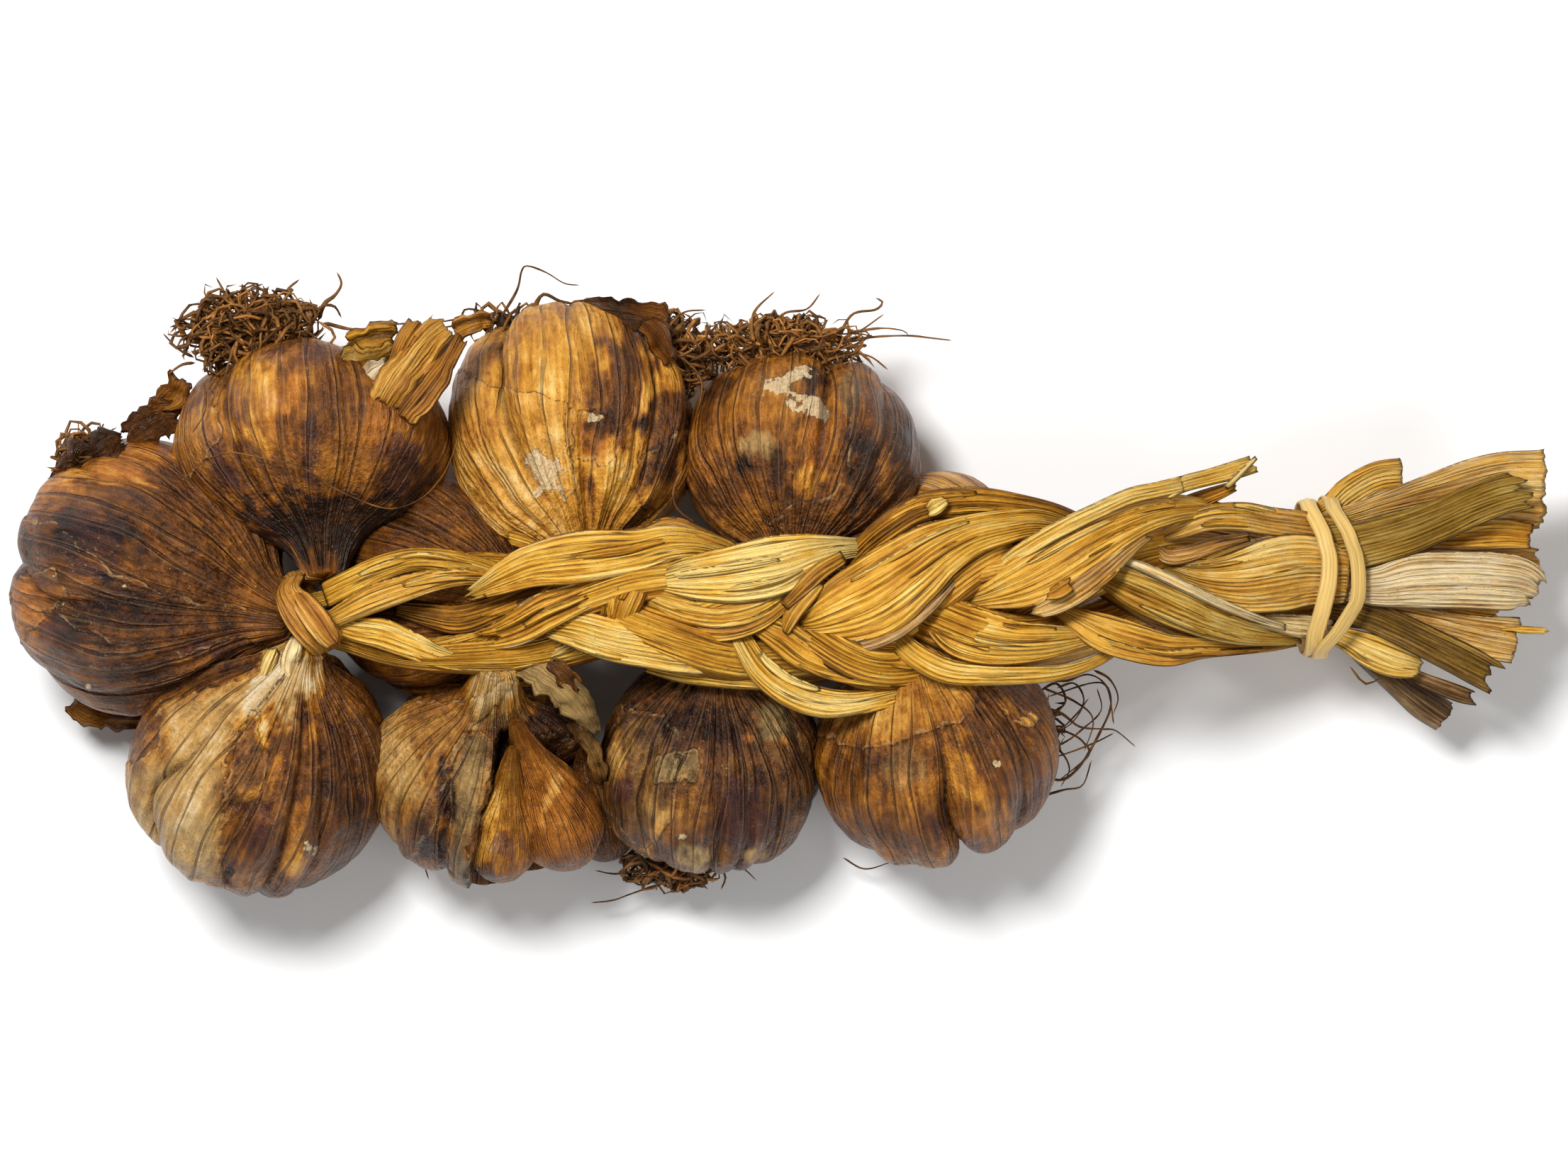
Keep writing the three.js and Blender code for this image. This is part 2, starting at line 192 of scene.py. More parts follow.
class Paint:
    """Lays out the nodes of one material."""

    def __init__(self, name):
        self.material = bpy.data.materials.new(name)
        self.material.use_nodes = True
        self.nodes = self.material.node_tree.nodes
        self.links = self.material.node_tree.links
        self.shader = self.nodes["Principled BSDF"]

    def join(self, value, socket):
        if isinstance(value, bpy.types.NodeSocket):
            self.links.new(value, socket)
        else:
            socket.default_value = value

    def spots(self):
        return self.nodes.new("ShaderNodeTexCoord").outputs["Object"]

    def read(self, name):
        node = self.nodes.new("ShaderNodeAttribute")
        node.attribute_name = name
        return node

    def parts(self, vector):
        node = self.nodes.new("ShaderNodeSeparateXYZ")
        self.join(vector, node.inputs[0])
        return node.outputs

    def stretch(self, vector, scale, offset=(0, 0, 0)):
        node = self.nodes.new("ShaderNodeMapping")
        self.join(vector, node.inputs["Vector"])
        node.inputs["Scale"].default_value = scale
        node.inputs["Location"].default_value = offset
        return node.outputs[0]

    def noise(self, vector, scale, detail=3.0, rough=0.55, warp=0.0):
        node = self.nodes.new("ShaderNodeTexNoise")
        self.join(vector, node.inputs["Vector"])
        node.inputs["Scale"].default_value = scale
        node.inputs["Detail"].default_value = detail
        node.inputs["Roughness"].default_value = rough
        node.inputs["Distortion"].default_value = warp
        return node.outputs["Fac"]

    def total(self, start, *shares):
        """The start plus each value times its share."""
        for value, share in shares:
            start = self.sum("MULTIPLY_ADD", value, share, start)
        return start

    def sum(self, kind, a, b=0.0, c=None):
        node = self.nodes.new("ShaderNodeMath")
        node.operation = kind
        self.join(a, node.inputs[0])
        self.join(b, node.inputs[1])
        if c is not None:
            self.join(c, node.inputs[2])
        return node.outputs[0]

    def band(self, value, low, high, out_low=0.0, out_high=1.0):
        node = self.nodes.new("ShaderNodeMapRange")
        node.interpolation_type = "SMOOTHSTEP"
        self.join(value, node.inputs["Value"])
        node.inputs["From Min"].default_value = low
        node.inputs["From Max"].default_value = high
        node.inputs["To Min"].default_value = out_low
        node.inputs["To Max"].default_value = out_high
        return node.outputs[0]

    def ramp(self, value, stops):
        node = self.nodes.new("ShaderNodeValToRGB")
        steps = node.color_ramp.elements
        while len(steps) < len(stops):
            steps.new(0.5)
        for step, (place, colour) in zip(steps, stops):
            step.position = place
            step.color = (*colour, 1)
        self.join(value, node.inputs[0])
        return node.outputs[0]

    def mix(self, share, a, b, kind="MIX"):
        node = self.nodes.new("ShaderNodeMix")
        node.data_type = "RGBA"
        node.blend_type = kind
        self.join(share, node.inputs["Factor"])
        sockets = [s for s in node.inputs if s.type == "RGBA"]
        for value, socket in zip((a, b), sockets):
            self.join((*value, 1) if isinstance(value, tuple) and len(value) == 3 else value, socket)
        return [s for s in node.outputs if s.type == "RGBA"][0]

    def bump(self, height, strength, distance):
        node = self.nodes.new("ShaderNodeBump")
        node.inputs["Strength"].default_value = strength
        node.inputs["Distance"].default_value = distance
        self.join(height, node.inputs["Height"])
        self.links.new(node.outputs[0], self.shader.inputs["Normal"])

    def finish(self, colour, rough, specular):
        self.join(colour, self.shader.inputs["Base Color"])
        self.join(rough, self.shader.inputs["Roughness"])
        self.shader.inputs["Specular IOR Level"].default_value = specular
        return self.material


# Spot patterns, in lumps to the metre.
SKIN_CLOUD, SKIN_FLAKE, SKIN_BLOTCH, SKIN_FRECKLE = 95, 620, 300, 1500
LEAF_CLOUD, LEAF_FRECKLE = 130, 1700
ROOT_CLOUD, ROOT_GRAIN = 420, 2600
# Veins round a bulb, and how far they wander.
VEINS, FINE_VEINS, VEIN_DRIFT, FINE_DRIFT = 29.0, 91.0, 13.0, 34.0
LEAF_RIDGES, RIDGE_DRIFT = 8.2, 15.0
SKIN_BUMP, LEAF_BUMP, ROOT_BUMP, RAFFIA_BUMP = 0.0013, 0.0011, 0.0003, 0.0004


def skin_material(look):
    """Smoked papery skin. It reads tint (purple, rust, khaki), wear (tone, cream, painted crease shade) and
    edge (mm).
    """
    p = Paint("smoked skin")
    grain = p.read("grain").outputs["Vector"]
    purple, rust, khaki = p.parts(p.read("tint").outputs["Vector"])
    tone, cream, hollow_shade = p.parts(p.read("wear").outputs["Vector"])
    edge = p.read("edge").outputs["Fac"]
    spots = p.spots()
    ring = p.read("ring").outputs["Vector"]
    ring_x, ring_y, _ = p.parts(ring)
    turn = p.sum("ARCTAN2", ring_y, ring_x)
    drift = p.noise(p.stretch(ring, (1, 1, 0.28)), 2.3, 2, 0.5)
    ridge = p.sum("SINE", p.total(p.sum("MULTIPLY", turn, VEINS), (drift, VEIN_DRIFT)))
    thin_ridge = p.sum("SINE", p.total(p.sum("MULTIPLY", turn, FINE_VEINS), (drift, FINE_DRIFT)))
    streak = p.noise(p.stretch(grain, (1, 1, 0.09)), 0.5, 4, 0.6, 0.25)
    fine = p.noise(p.stretch(grain, (1, 1, 0.06)), 1.5, 4, 0.62)
    cloud = p.noise(spots, SKIN_CLOUD, 4, 0.62, 0.5)
    blotch = p.noise(spots, SKIN_BLOTCH, 5, 0.7, 0.3)
    freckle = p.noise(spots, SKIN_FRECKLE, 2, 0.5)
    level = p.total(tone, (streak, 0.6), (fine, 0.26), (cloud, 0.72), (blotch, 0.4), (thin_ridge, 0.04))
    level = p.sum("SUBTRACT", level, 1.02)

    # Stained parts: khaki paper, rust and purple.
    warm = p.ramp(level, look.warm)
    dull = p.ramp(level, look.dull)
    colour = p.mix(p.band(p.total(khaki, (cloud, 0.6)), 0.36, 1.15), warm, dull)
    rusty = p.sum("MULTIPLY", p.band(p.total(rust, (streak, 0.7)), 0.35, 1.35), 0.8)
    colour = p.mix(rusty, colour, p.ramp(level, look.rust))
    bruise = p.total(purple, (p.noise(p.stretch(grain, (1, 1, 0.3)), 0.34, 4, 0.6, 0.5), 0.9))
    colour = p.mix(p.band(bruise, 0.62, 1.4, 0, 0.85), colour, p.ramp(level, look.purple))

    # Veins, with a painted highlight line beside each.
    patchy = p.band(p.total(cloud, (streak, 0.5)), 0.52, 0.8)
    vein = p.sum("MULTIPLY", p.band(ridge, 0.93, 1.0), patchy)
    colour = p.mix(p.sum("MULTIPLY", vein, 0.56), colour, look.vein)
    vein_highlight = p.sum("MULTIPLY", p.band(ridge, 0.6, 0.86), p.band(ridge, 0.93, 0.86))
    colour = p.mix(p.sum("MULTIPLY", vein_highlight, 0.1), colour, look.rim)

    # Pale flakes and specks.
    flake = p.total(cream, (blotch, 0.45), (fine, 0.2), (p.noise(spots, SKIN_FLAKE, 4, 0.7), 0.55))
    flaked = p.band(flake, 1.1, 1.16)
    colour = p.mix(p.sum("MULTIPLY", flaked, 0.9), colour, p.ramp(freckle, look.cream))
    speck = p.band(p.total(freckle, (cloud, 0.35)), 0.86, 0.93, 0, 0.34)
    colour = p.mix(speck, colour, look.speck)

    # Torn edges: a painted shadow line on the low side, a pale rim on the high side, and painted shade in the
    # creases.
    line = p.sum("MULTIPLY", p.band(edge, -0.5, -0.12), p.band(edge, 0.22, 0.0))
    line = p.sum("MULTIPLY", line, p.band(fine, 0.4, 0.56))
    colour = p.mix(p.sum("MULTIPLY", line, 0.75), colour, look.painted_shadow)
    rim = p.sum("MULTIPLY", p.band(edge, 0.05, 0.25), p.band(edge, 0.9, 0.4))
    rim = p.sum("MULTIPLY", rim, p.band(blotch, 0.45, 0.6))
    colour = p.mix(p.sum("MULTIPLY", rim, 0.4), colour, look.rim)
    colour = p.mix(p.sum("MULTIPLY", hollow_shade, 0.8), colour, look.painted_shadow)

    rough = p.band(p.total(blotch, (flaked, 0.4)), 0.3, 0.85, 0.2, 0.44)
    height = p.total(streak, (fine, 0.5), (blotch, 0.55), (flaked, 0.35), (thin_ridge, 0.07), (vein, -0.4),
                     (freckle, 0.15))
    p.bump(height, 1.0, SKIN_BUMP)
    return p.finish(colour, rough, 0.3)


def leaf_material(look):
    """Dried leaf and stalk. It reads tint (olive, grey, ember) and wear (tone, pale edge, painted shade in
    hollows).
    """
    p = Paint("dried leaf")
    grain = p.read("grain").outputs["Vector"]
    olive, grey, ember = p.parts(p.read("tint").outputs["Vector"])
    tone, pale, hollow_shade = p.parts(p.read("wear").outputs["Vector"])
    spots = p.spots()
    broad = p.noise(p.stretch(grain, (1, 1, 0.045)), 0.5, 3, 0.55)
    strip = p.noise(p.stretch(grain, (1, 1, 0.03)), 1.5, 3, 0.62)
    fine = p.noise(p.stretch(grain, (1, 1, 0.05)), 4.2, 3, 0.65)
    cloud = p.noise(spots, LEAF_CLOUD, 4, 0.6, 0.4)
    blotch = p.noise(p.stretch(grain, (1, 1, 0.22)), 0.9, 5, 0.7, 0.3)
    freckle = p.noise(spots, LEAF_FRECKLE, 2, 0.5)
    drift = p.noise(p.stretch(grain, (1, 1, 0.06)), 0.3, 2, 0.5)
    across = p.sum("MULTIPLY", p.parts(grain)[0], LEAF_RIDGES)
    ridge = p.sum("SINE", p.total(across, (drift, RIDGE_DRIFT)))
    # Painted shade: dark lines in the valleys between the ridges.
    groove_shade = p.sum("MULTIPLY", p.band(ridge, -0.74, -0.99), p.band(strip, 0.62, 0.36))
    groove_shade = p.sum("MULTIPLY", groove_shade, p.band(ember, 0.7, 0.4))
    # The ridge term makes the crests a little lighter and the valleys a little darker: painted shading.
    level = p.total(tone, (broad, 0.66), (strip, 0.8), (fine, 0.3), (cloud, 0.4), (blotch, 0.36),
                    (ridge, 0.06))
    level = p.sum("SUBTRACT", level, 1.07)

    # Leaf that is burnt, greenish, grey or pale.
    colour = p.ramp(level, look.leaf)
    burnt = p.band(p.total(ember, (blotch, 0.8)), 0.5, 1.1, 0, 0.85)
    colour = p.mix(burnt, colour, p.ramp(level, look.ember))
    greenish = p.band(p.total(olive, (broad, 0.5)), 0.45, 1.0, 0, 0.9)
    colour = p.mix(greenish, colour, p.ramp(level, look.olive))
    greyish = p.band(p.total(grey, (blotch, 0.5)), 0.45, 1.0, 0, 0.9)
    colour = p.mix(greyish, colour, p.ramp(level, look.grey))
    pale_here = p.band(p.total(pale, (strip, 0.5)), 0.55, 1.0, 0, 0.9)
    colour = p.mix(pale_here, colour, look.pale)

    # Dark threads and mould specks, then painted shade in hollows, along the sides and in the grooves between
    # ridges.
    thread = p.noise(p.stretch(grain, (1, 1, 0.012), (5, 2, 9)), 1.1, 1, 0.4)
    thread = p.band(p.sum("ABSOLUTE", p.sum("SUBTRACT", thread, 0.5)), 0.004, 0.02, 0.75, 0)
    colour = p.mix(thread, colour, look.thread)
    speck = p.band(p.total(freckle, (cloud, 0.3)), 0.83, 0.9, 0, 0.5)
    colour = p.mix(speck, colour, look.mould)
    colour = p.mix(p.sum("MULTIPLY", hollow_shade, 0.85), colour, look.thread)
    colour = p.mix(p.sum("MULTIPLY", groove_shade, 0.42), colour, look.thread)

    p.bump(p.total(strip, (fine, 0.45), (ridge, 0.2), (blotch, 0.4), (freckle, 0.1)), 1.0, LEAF_BUMP)
    return p.finish(colour, p.band(strip, 0.3, 0.7, 0.28, 0.5), 0.2)


def root_material(look):
    """Dry roots. It reads wear (tone)."""
    p = Paint("dry roots")
    spots = p.spots()
    tone = p.read("wear").outputs["Vector"]
    level = p.total(p.parts(tone)[0], (p.noise(spots, ROOT_CLOUD, 3, 0.6), 0.8))
    colour = p.ramp(p.sum("SUBTRACT", level, 0.4), look.root)
    p.bump(p.noise(spots, ROOT_GRAIN, 2, 0.6), 0.6, ROOT_BUMP)
    return p.finish(colour, 0.62, 0.2)


def raffia_material(look):
    """Dry raffia, streaked along the strip."""
    p = Paint("dry raffia")
    grain = p.read("grain").outputs["Vector"]
    strip = p.noise(p.stretch(grain, (1, 1, 0.03)), 2.2, 3, 0.6)
    cloud = p.noise(p.stretch(grain, (1, 1, 0.2)), 0.5, 2, 0.5)
    colour = p.ramp(p.total(p.sum("MULTIPLY", cloud, 0.35), (strip, 0.7)), look.raffia)
    p.bump(strip, 0.7, RAFFIA_BUMP)
    return p.finish(colour, 0.45, 0.3)


# ---------------------------------------------------------------- bulbs and cloves


# HOLLOW_SHADE marks paint shade into hollows.
PURPLE, RUST, KHAKI, TONE, CREAM, HOLLOW_SHADE = range(6)


def layer(*corners, lift, changes):
    """A torn layer of skin: its outline, how far it stands up in mm, and what changes inside it."""
    return corners, lift, changes


# Each bulb: centre, neck and radius in mm, its own numbers, then its clefts, torn skins and marks.
# A cleft is (x, y, depth). A mark is (x, y, half length, half width, amount, turn in degrees or none).
BULBS = {
    "bulb_1": dict(
        centre=(-141.8, 3, 27.6), neck=(-107, -6.5, 46.5), radius=30.4, tone=0.35, rust=0.3, purple=0.16,
        cloves=7, depth=0.075, ribs=1.7, clefts=[(-163, 3.4, 0.11), (-150, -23, 0.07)],
        skins=[
            layer((-172, 16), (-156, 14), (-144, 4), (-128, -2), (-104, -6), (-100, -14), (-119, -10.5),
                (-124, -13.8), (-132, -14.5), (-140, -12), (-150, -9), (-157, -5), (-172, -2), lift=0.4,
                changes={TONE: -0.06}),
            layer((-166, -12), (-158, -6), (-153, -2), (-156, 4), (-168, 2), lift=0.3,
                changes={TONE: 0.18, RUST: 0.3})],
        marks={
            RUST: [(-140, 27, 18, 7, 0.5, 12), (-163, -2, 5, 9, 0.5), (-160, 18, 6, 12, 0.4, -20),
                (-130, -20, 20, 5, 0.3, 5)],
            TONE: [(-143, 27, 14, 6, 0.3, 15), (-136, 23, 5, 3, 0.14, 20), (-150, 10, 12, 8, -0.2),
                (-130, 3, 16, 8, -0.08, -10), (-116, 2, 8, 5, 0.05, -20), (-140, -4, 12, 6, -0.06, -10),
                (-163, -6, 6, 11, 0.26, 15), (-158, 22, 6, 9, 0.2, -40), (-139, -17.5, 12, 3, -0.16, 5),
                (-112, -10, 6, 3, 0.08)],
            PURPLE: [(-150, 12.5, 10, 6, 0.6), (-149, 5, 9, 4, 0.5), (-155, -9, 6, 4, 0.6),
                (-125, -13, 8, 2.4, 0.5, 5)],
            CREAM: [(-156, 2.4, 4, 1.8, 0.5, 10), (-131, 4.6, 2.6, 1.4, 0.5), (-140, 0.3, 1.6, 0.8, 0.55),
                (-157, -4, 1.6, 0.8, 0.5), (-154, -3.5, 1.3, 0.8, 0.5), (-126.5, -5.8, 4, 1.8, 0.44, 20),
                (-135, -9, 3, 1.4, 0.44, 20), (-120, -4, 2, 0.8, 0.5, 20), (-150, -21.5, 1.5, 2, 0.6)]}),
    "bulb_2": dict(
        centre=(-102.5, 32.3, 35), neck=(-99.2, 3, 46), radius=30, base=0.84, crown=0.72, tone=0.46,
        rust=0.25, purple=0.12, cloves=6, depth=0.07, ribs=0.7, clefts=[(-121, 33, 0.1), (-92, 34, 0.07)],
        skins=[
            layer((-140, 18), (-128, 24), (-120, 31), (-121, 38), (-124, 46), (-130, 52), (-142, 40),
                lift=0.35, changes={KHAKI: 0.1, TONE: 0.0})],
        marks={
            TONE: [(-128, 33, 5, 8, 0.1, 10), (-112, 40, 6, 13, 0.3, 5), (-108, 42, 5, 6, 0.16),
                (-100.5, 30, 2.4, 9, -0.1), (-88, 36, 6, 7, 0.06), (-98, 13, 22, 8, -0.4),
                (-82, 22, 8, 8, -0.22), (-100, 1, 5, 3, 0.16), (-116, 20, 8, 5, -0.1, -40)],
            KHAKI: [(-128, 35, 6, 10, 0.1, 10)],
            RUST: [(-106, 38, 6, 10, 0.5), (-87, 34, 6, 8, 0.5), (-100, 2, 5, 4, 0.3),
                (-128, 22, 8, 5, 0.4, -40)],
            # The purple mark at (-119.5, 25) and the cream mark at (-119, 25) together paint a whitish-purple
            # highlight.
            PURPLE: [(-122, 32, 3, 5, 0.5, 10), (-119.5, 25, 3, 4, 0.5, 20), (-110, 50, 4, 3, 0.5),
                (-100, 50, 4, 3, 0.5), (-110, 40, 2, 4, 0.35), (-100.5, 30, 2.4, 9, 0.6),
                (-82, 26, 5, 8, 0.6), (-104, 14, 14, 6, 0.4)],
            CREAM: [(-119, 25, 4, 1.6, 0.36, 40), (-106, 31, 3, 3, 0.3), (-86, 22, 5, 4, 0.14, 30)]}),
    "bulb_3": dict(
        centre=(-46.6, 37.4, 25.8), neck=(-42.2, 3, 45), radius=27, base=1.15, crown=1.1, tone=0.7,
        rust=0.1, cloves=6, depth=0.08, ribs=2.1,
        clefts=[(-62.5, 43, 0.15), (-29.5, 40, 0.15), (-44, 48, 0.05)],
        skins=[
            layer((-76, 50), (-62, 43.5), (-58, 42), (-53, 42), (-48, 40), (-45, 37.5), (-46, 30),
                (-44, 20), (-44, 4), (-70, 4), lift=0.45, changes={TONE: 0.1, KHAKI: 0.22}),
            layer((-46.6, 37), (-41, 38.4), (-36, 36), (-34.6, 30), (-38, 26), (-42, 28), (-45.6, 27),
                lift=-0.8, changes={TONE: -0.02}),
            layer((-34, 24), (-30, 16), (-24, 8), (-16, 20), (-20, 36), (-28, 30), lift=0.35,
                changes={TONE: -0.06, RUST: 0.2})],
        marks={
            TONE: [(-52, 50, 8, 11, 0.1, 10), (-52, 48, 3, 7, 0.08, 10), (-35, 44, 7, 15, -0.4, -10),
                (-26, 34, 6, 14, -0.46, -10), (-68, 40, 4, 9, -0.06, 20), (-49, 34, 3, 3, 0.1),
                (-40, 31, 5, 5, -0.06), (-43, 24, 2, 3, -0.14), (-41.2, 20, 0.7, 6, -0.3, 2),
                (-36, 24, 3.4, 8, 0.12), (-64, 20, 4, 8, -0.12, 30)],
            RUST: [(-34, 46, 6, 12, 0.5, -10), (-25, 38, 4, 11, 0.3, -10), (-68, 38, 4, 9, 0.2, 20),
                (-40, 31, 5, 5, 0.7)],
            CREAM: [(-54, 30, 7, 10, 0.42, 30), (-42, 37.4, 5, 1.4, 0.4), (-50, 20, 4, 9, 0.34, 20),
                (-39, 32, 6, 5, 0.38, 30), (-24.5, 20, 0.7, 6, 0.5, -28)]}),
    "bulb_4": dict(
        centre=(3.4, 28.8, 24.2), neck=(1.7, 1, 43), radius=26, crown=0.9, tone=0.42, rust=0.26,
        purple=0.04, cloves=6, depth=0.085, ribs=1.2,
        clefts=[(10, 43, 0.17), (-14, 36, 0.06), (20, 28, 0.07)],
        skins=[
            layer((13.5, 34), (13, 27), (11, 22), (9, 19.5), (3, 19), (-4, 14), (10, 4), (30, 8), (36, 30),
                (30, 46), (14, 50), lift=0.45, changes={TONE: -0.04, RUST: 0.1})],
        marks={
            TONE: [(-11, 35, 4, 12, 0.12, -10), (-2, 36, 6, 8, 0.1), (-6, 31, 5, 4, 0.2),
                (-9, 26, 2.4, 3, -0.3), (-1, 27, 2, 6, -0.18), (6, 45, 3, 3, -0.3), (6, 30, 4, 8, 0.1),
                (5, 23, 3.4, 4, 0.26), (17, 28, 4, 12, -0.26), (26, 32, 4, 13, -0.26),
                (-16, 45, 5, 5, -0.14, 30), (2, 10, 14, 5, -0.12)],
            RUST: [(-16, 30, 4, 11, 0.3, -15), (7, 32, 3, 7, 0.8), (23.5, 38, 2, 9, 0.7, -8)],
            KHAKI: [(-6, 31, 6, 5, 0.8), (15, 42, 4, 5, 0.5)],
            CREAM: [(-1, 44.4, 5, 2.4, 0.6, 10), (3, 46, 3.4, 2.4, 0.6), (3, 40.4, 3, 4, 0.56, 30),
                (8, 39, 2, 3.4, 0.66), (-6, 31, 4, 4, 0.4)],
            PURPLE: [(7.6, 29, 2, 3.4, 0.5), (-13, 42, 4, 5, 0.3, 20)]}),
    "bulb_5": dict(
        centre=(-115.8, -40.8, 26.2), neck=(-103.4, -13.4, 47), radius=29, tone=0.36, purple=0.22, rust=0.1,
        cloves=7, depth=0.09, ribs=1.8,
        clefts=[(-137, -47, 0.12), (-109, -58, 0.09), (-99, -50, 0.08), (-122, -60, 0.05)],
        skins=[
            layer((-103, -11), (-118, -20), (-134.5, -25), (-134.8, -31), (-134, -35), (-146, -40),
                (-140, -66), (-120, -70), (-122, -60), (-120.3, -51), (-119.5, -43), (-118.5, -36),
                (-116, -30), (-108, -20), lift=0.5, changes={TONE: 0.3, KHAKI: 0.6, PURPLE: -0.3}),
            layer((-116, -30), (-118.5, -36), (-119.5, -43), (-120.3, -51), (-116, -47), (-111, -42),
                (-110.5, -36), (-112, -33), (-112.5, -26), lift=0.7,
                changes={TONE: 0.1, PURPLE: 0.2, KHAKI: 0.3})],
        marks={
            # The tone mark at (-119.8, -61.3) paints the shade in a small hole in the skin.
            TONE: [(-124, -34, 10, 7, 0.12, -30), (-128, -48, 4, 12, 0.1, -8), (-137, -46, 4, 12, -0.1, 10),
                (-112.5, -35, 1.6, 2.6, -0.2), (-113, -43.4, 3.4, 1.2, 0.3, 40), (-112, -31, 1.6, 5, 0.3),
                (-108, -37.5, 1.8, 2, 0.24), (-106, -60, 3, 4, 0.26), (-104, -50, 1.8, 8, 0.18, -10),
                (-119.8, -61.3, 1.1, 0.9, -0.8), (-109, -21, 7, 13, 0.4, -30), (-101, -24, 2, 8, 0.2),
                (-94, -40, 6, 12, -0.08), (-130, -56, 8, 5, 0.04, -40), (-118, -64, 9, 3, 0.05)],
            PURPLE: [(-126, -60, 8, 3, 0.5), (-112, -53, 7, 8, 0.4, 20)],
            RUST: [(-108, -38, 1.6, 1.6, 0.9), (-97, -52, 5, 8, 0.3, 20)],
            # The cream mark at (-102.3, -56) is a painted highlight.
            CREAM: [(-102.3, -56, 1.8, 2, 0.56), (-122, -62, 4, 2, 0.44)],
            KHAKI: [(-107, -20, 7, 11, 0.7, -30), (-126, -55, 8, 6, 0.3, -40)]}),
    "bulb_6": dict(
        centre=(-66.2, -41.6, 23.6), neck=(-62, -17, 47.4), radius=25.2, crown=0.86, tone=0.46, rust=0.1,
        purple=0.06, cloves=7, depth=0.1, ribs=1.3,
        clefts=[(-73.4, -50, 0.12), (-84, -52, 0.05), (-55, -50, 0.12)],
        skins=[
            # The first layer sinks the part where the bulb has opened and darkens it: painted shade in the
            # opening.
            layer((-61.6, -31), (-58, -29), (-54, -31), (-46, -32), (-36, -38), (-32, -50), (-36, -70),
                (-46, -74), (-58, -74), (-68.6, -74), (-68.4, -63), (-67, -54), (-65, -48), (-63.2, -41),
                lift=-6.5, changes={TONE: -0.34, PURPLE: 0.2}),
            layer((-56, -18), (-70, -25), (-86, -24), (-96, -38), (-90, -60), (-79, -58), (-74, -48),
                (-72, -38), (-64, -27), lift=0.5, changes={TONE: 0.06, KHAKI: 0.3}),
            layer((-69, -31), (-66, -30), (-62.5, -33.4), (-63.2, -41), (-65, -48), (-67, -54),
                (-68.4, -65), (-72.6, -65), (-72.4, -50), (-71.4, -38), lift=0.9,
                changes={TONE: -0.02, KHAKI: 0.7})],
        marks={
            # Painted shade: the first two tone marks and the first purple mark are a shadow streak beside the
            # pale strip; the tone mark at (-61.5, -30) and the hollow-shade mark darken the hollow.
            TONE: [(-73.4, -43, 1.6, 8, -0.36, 2), (-71.4, -44, 0.7, 6, -0.5, 2),
                (-84, -36, 8, 13, 0.16, 20), (-77, -52, 3.4, 9, -0.2, 10), (-63, -20, 7, 8, 0.34),
                (-61.5, -30, 3, 3, -0.2), (-48, -28, 8, 6, -0.26)],
            PURPLE: [(-73.6, -44, 2.4, 8, 0.5, 2), (-77, -56, 3, 7, 0.4, 10)],
            KHAKI: [(-84, -38, 8, 13, 0.25, 20), (-63, -22, 6, 9, 0.6)], HOLLOW_SHADE: [(-60, -38, 4, 6, 0.6)]}),
    "bulb_7": dict(
        centre=(-16.6, -41, 22.4), neck=(-14.5, -9, 43), radius=24.6, crown=1.05, tone=0.31, purple=0.24,
        khaki=0.2, cloves=7, depth=0.09, ribs=1.7,
        clefts=[(-30, -53, 0.08), (-3, -50, 0.08), (-17, -56, 0.08), (-9.5, -54, 0.06)],
        skins=[
            layer((-36, -26), (-24, -28), (-23, -38), (-23.5, -50), (-30, -58), (-42, -46), lift=0.4,
                changes={TONE: 0.08, KHAKI: 0.2}),
            layer((-27, -37), (-24, -35.4), (-19, -35.6), (-17, -38.6), (-19.5, -41), (-23, -42.4),
                (-27.6, -42), lift=0.8, changes={TONE: -0.04, KHAKI: 0.5})],
        marks={
            TONE: [(-36, -37, 1.8, 7, 0.3, 4), (-18, -30, 16, 5, -0.16), (-18, -48, 10, 9, 0.12),
                (-27, -51, 1.2, 7, 0.28, -26), (-19.5, -58.5, 4, 3, 0.26), (-2.5, -29, 3, 5, 0.1),
                (-8, -32.5, 1.6, 1, 0.3), (0, -33, 1.2, 1, 0.3), (-6.5, -58, 4, 2.4, 0.3),
                (3, -40, 3, 10, -0.1), (-16, -36, 7, 4, 0.08, 20)],
            PURPLE: [(-35, -44, 3, 3, 0.7), (-9, -50, 9, 10, 0.8), (-18, -32, 12, 6, 0.3)],
            CREAM: [(-22.5, -50, 2.4, 4, 0.34, 10), (-30, -40, 4, 8, 0.34, 10), (-20, -57, 4, 4, 0.4)],
            KHAKI: [(-19.5, -58.5, 4, 3.4, 0.9), (-2.5, -29, 4, 6, 0.6), (-6.5, -58, 4, 2.4, 0.8)],
            RUST: [(-8, -50, 7, 8, 0.2), (-8, -32.5, 1.6, 1, 0.9), (0, -33, 1.2, 1, 0.9)]}),
    "bulb_8": dict(
        centre=(33.5, -36.8, 25), neck=(27, -10, 43), radius=27, crown=0.95, tone=0.42, rust=0.2,
        purple=0.06, cloves=6, depth=0.09, ribs=1.3,
        clefts=[(37, -51, 0.24), (54, -46, 0.07), (16, -50, 0.08), (25, -52, 0.04)],
        skins=[
            layer((8, -20), (8, -32), (11, -33), (18, -34.8), (25, -33.5), (32, -30.5), (40, -28),
                (44, -18), (28, -10), lift=0.45, changes={TONE: 0.26, KHAKI: 0.2}),
            layer((47, -25.5), (50, -28), (55, -27), (56, -28.6), (53, -31), (49, -29.5), (47, -27.6),
                lift=0.9, changes={TONE: 0.5, RUST: 0.1})],
        marks={
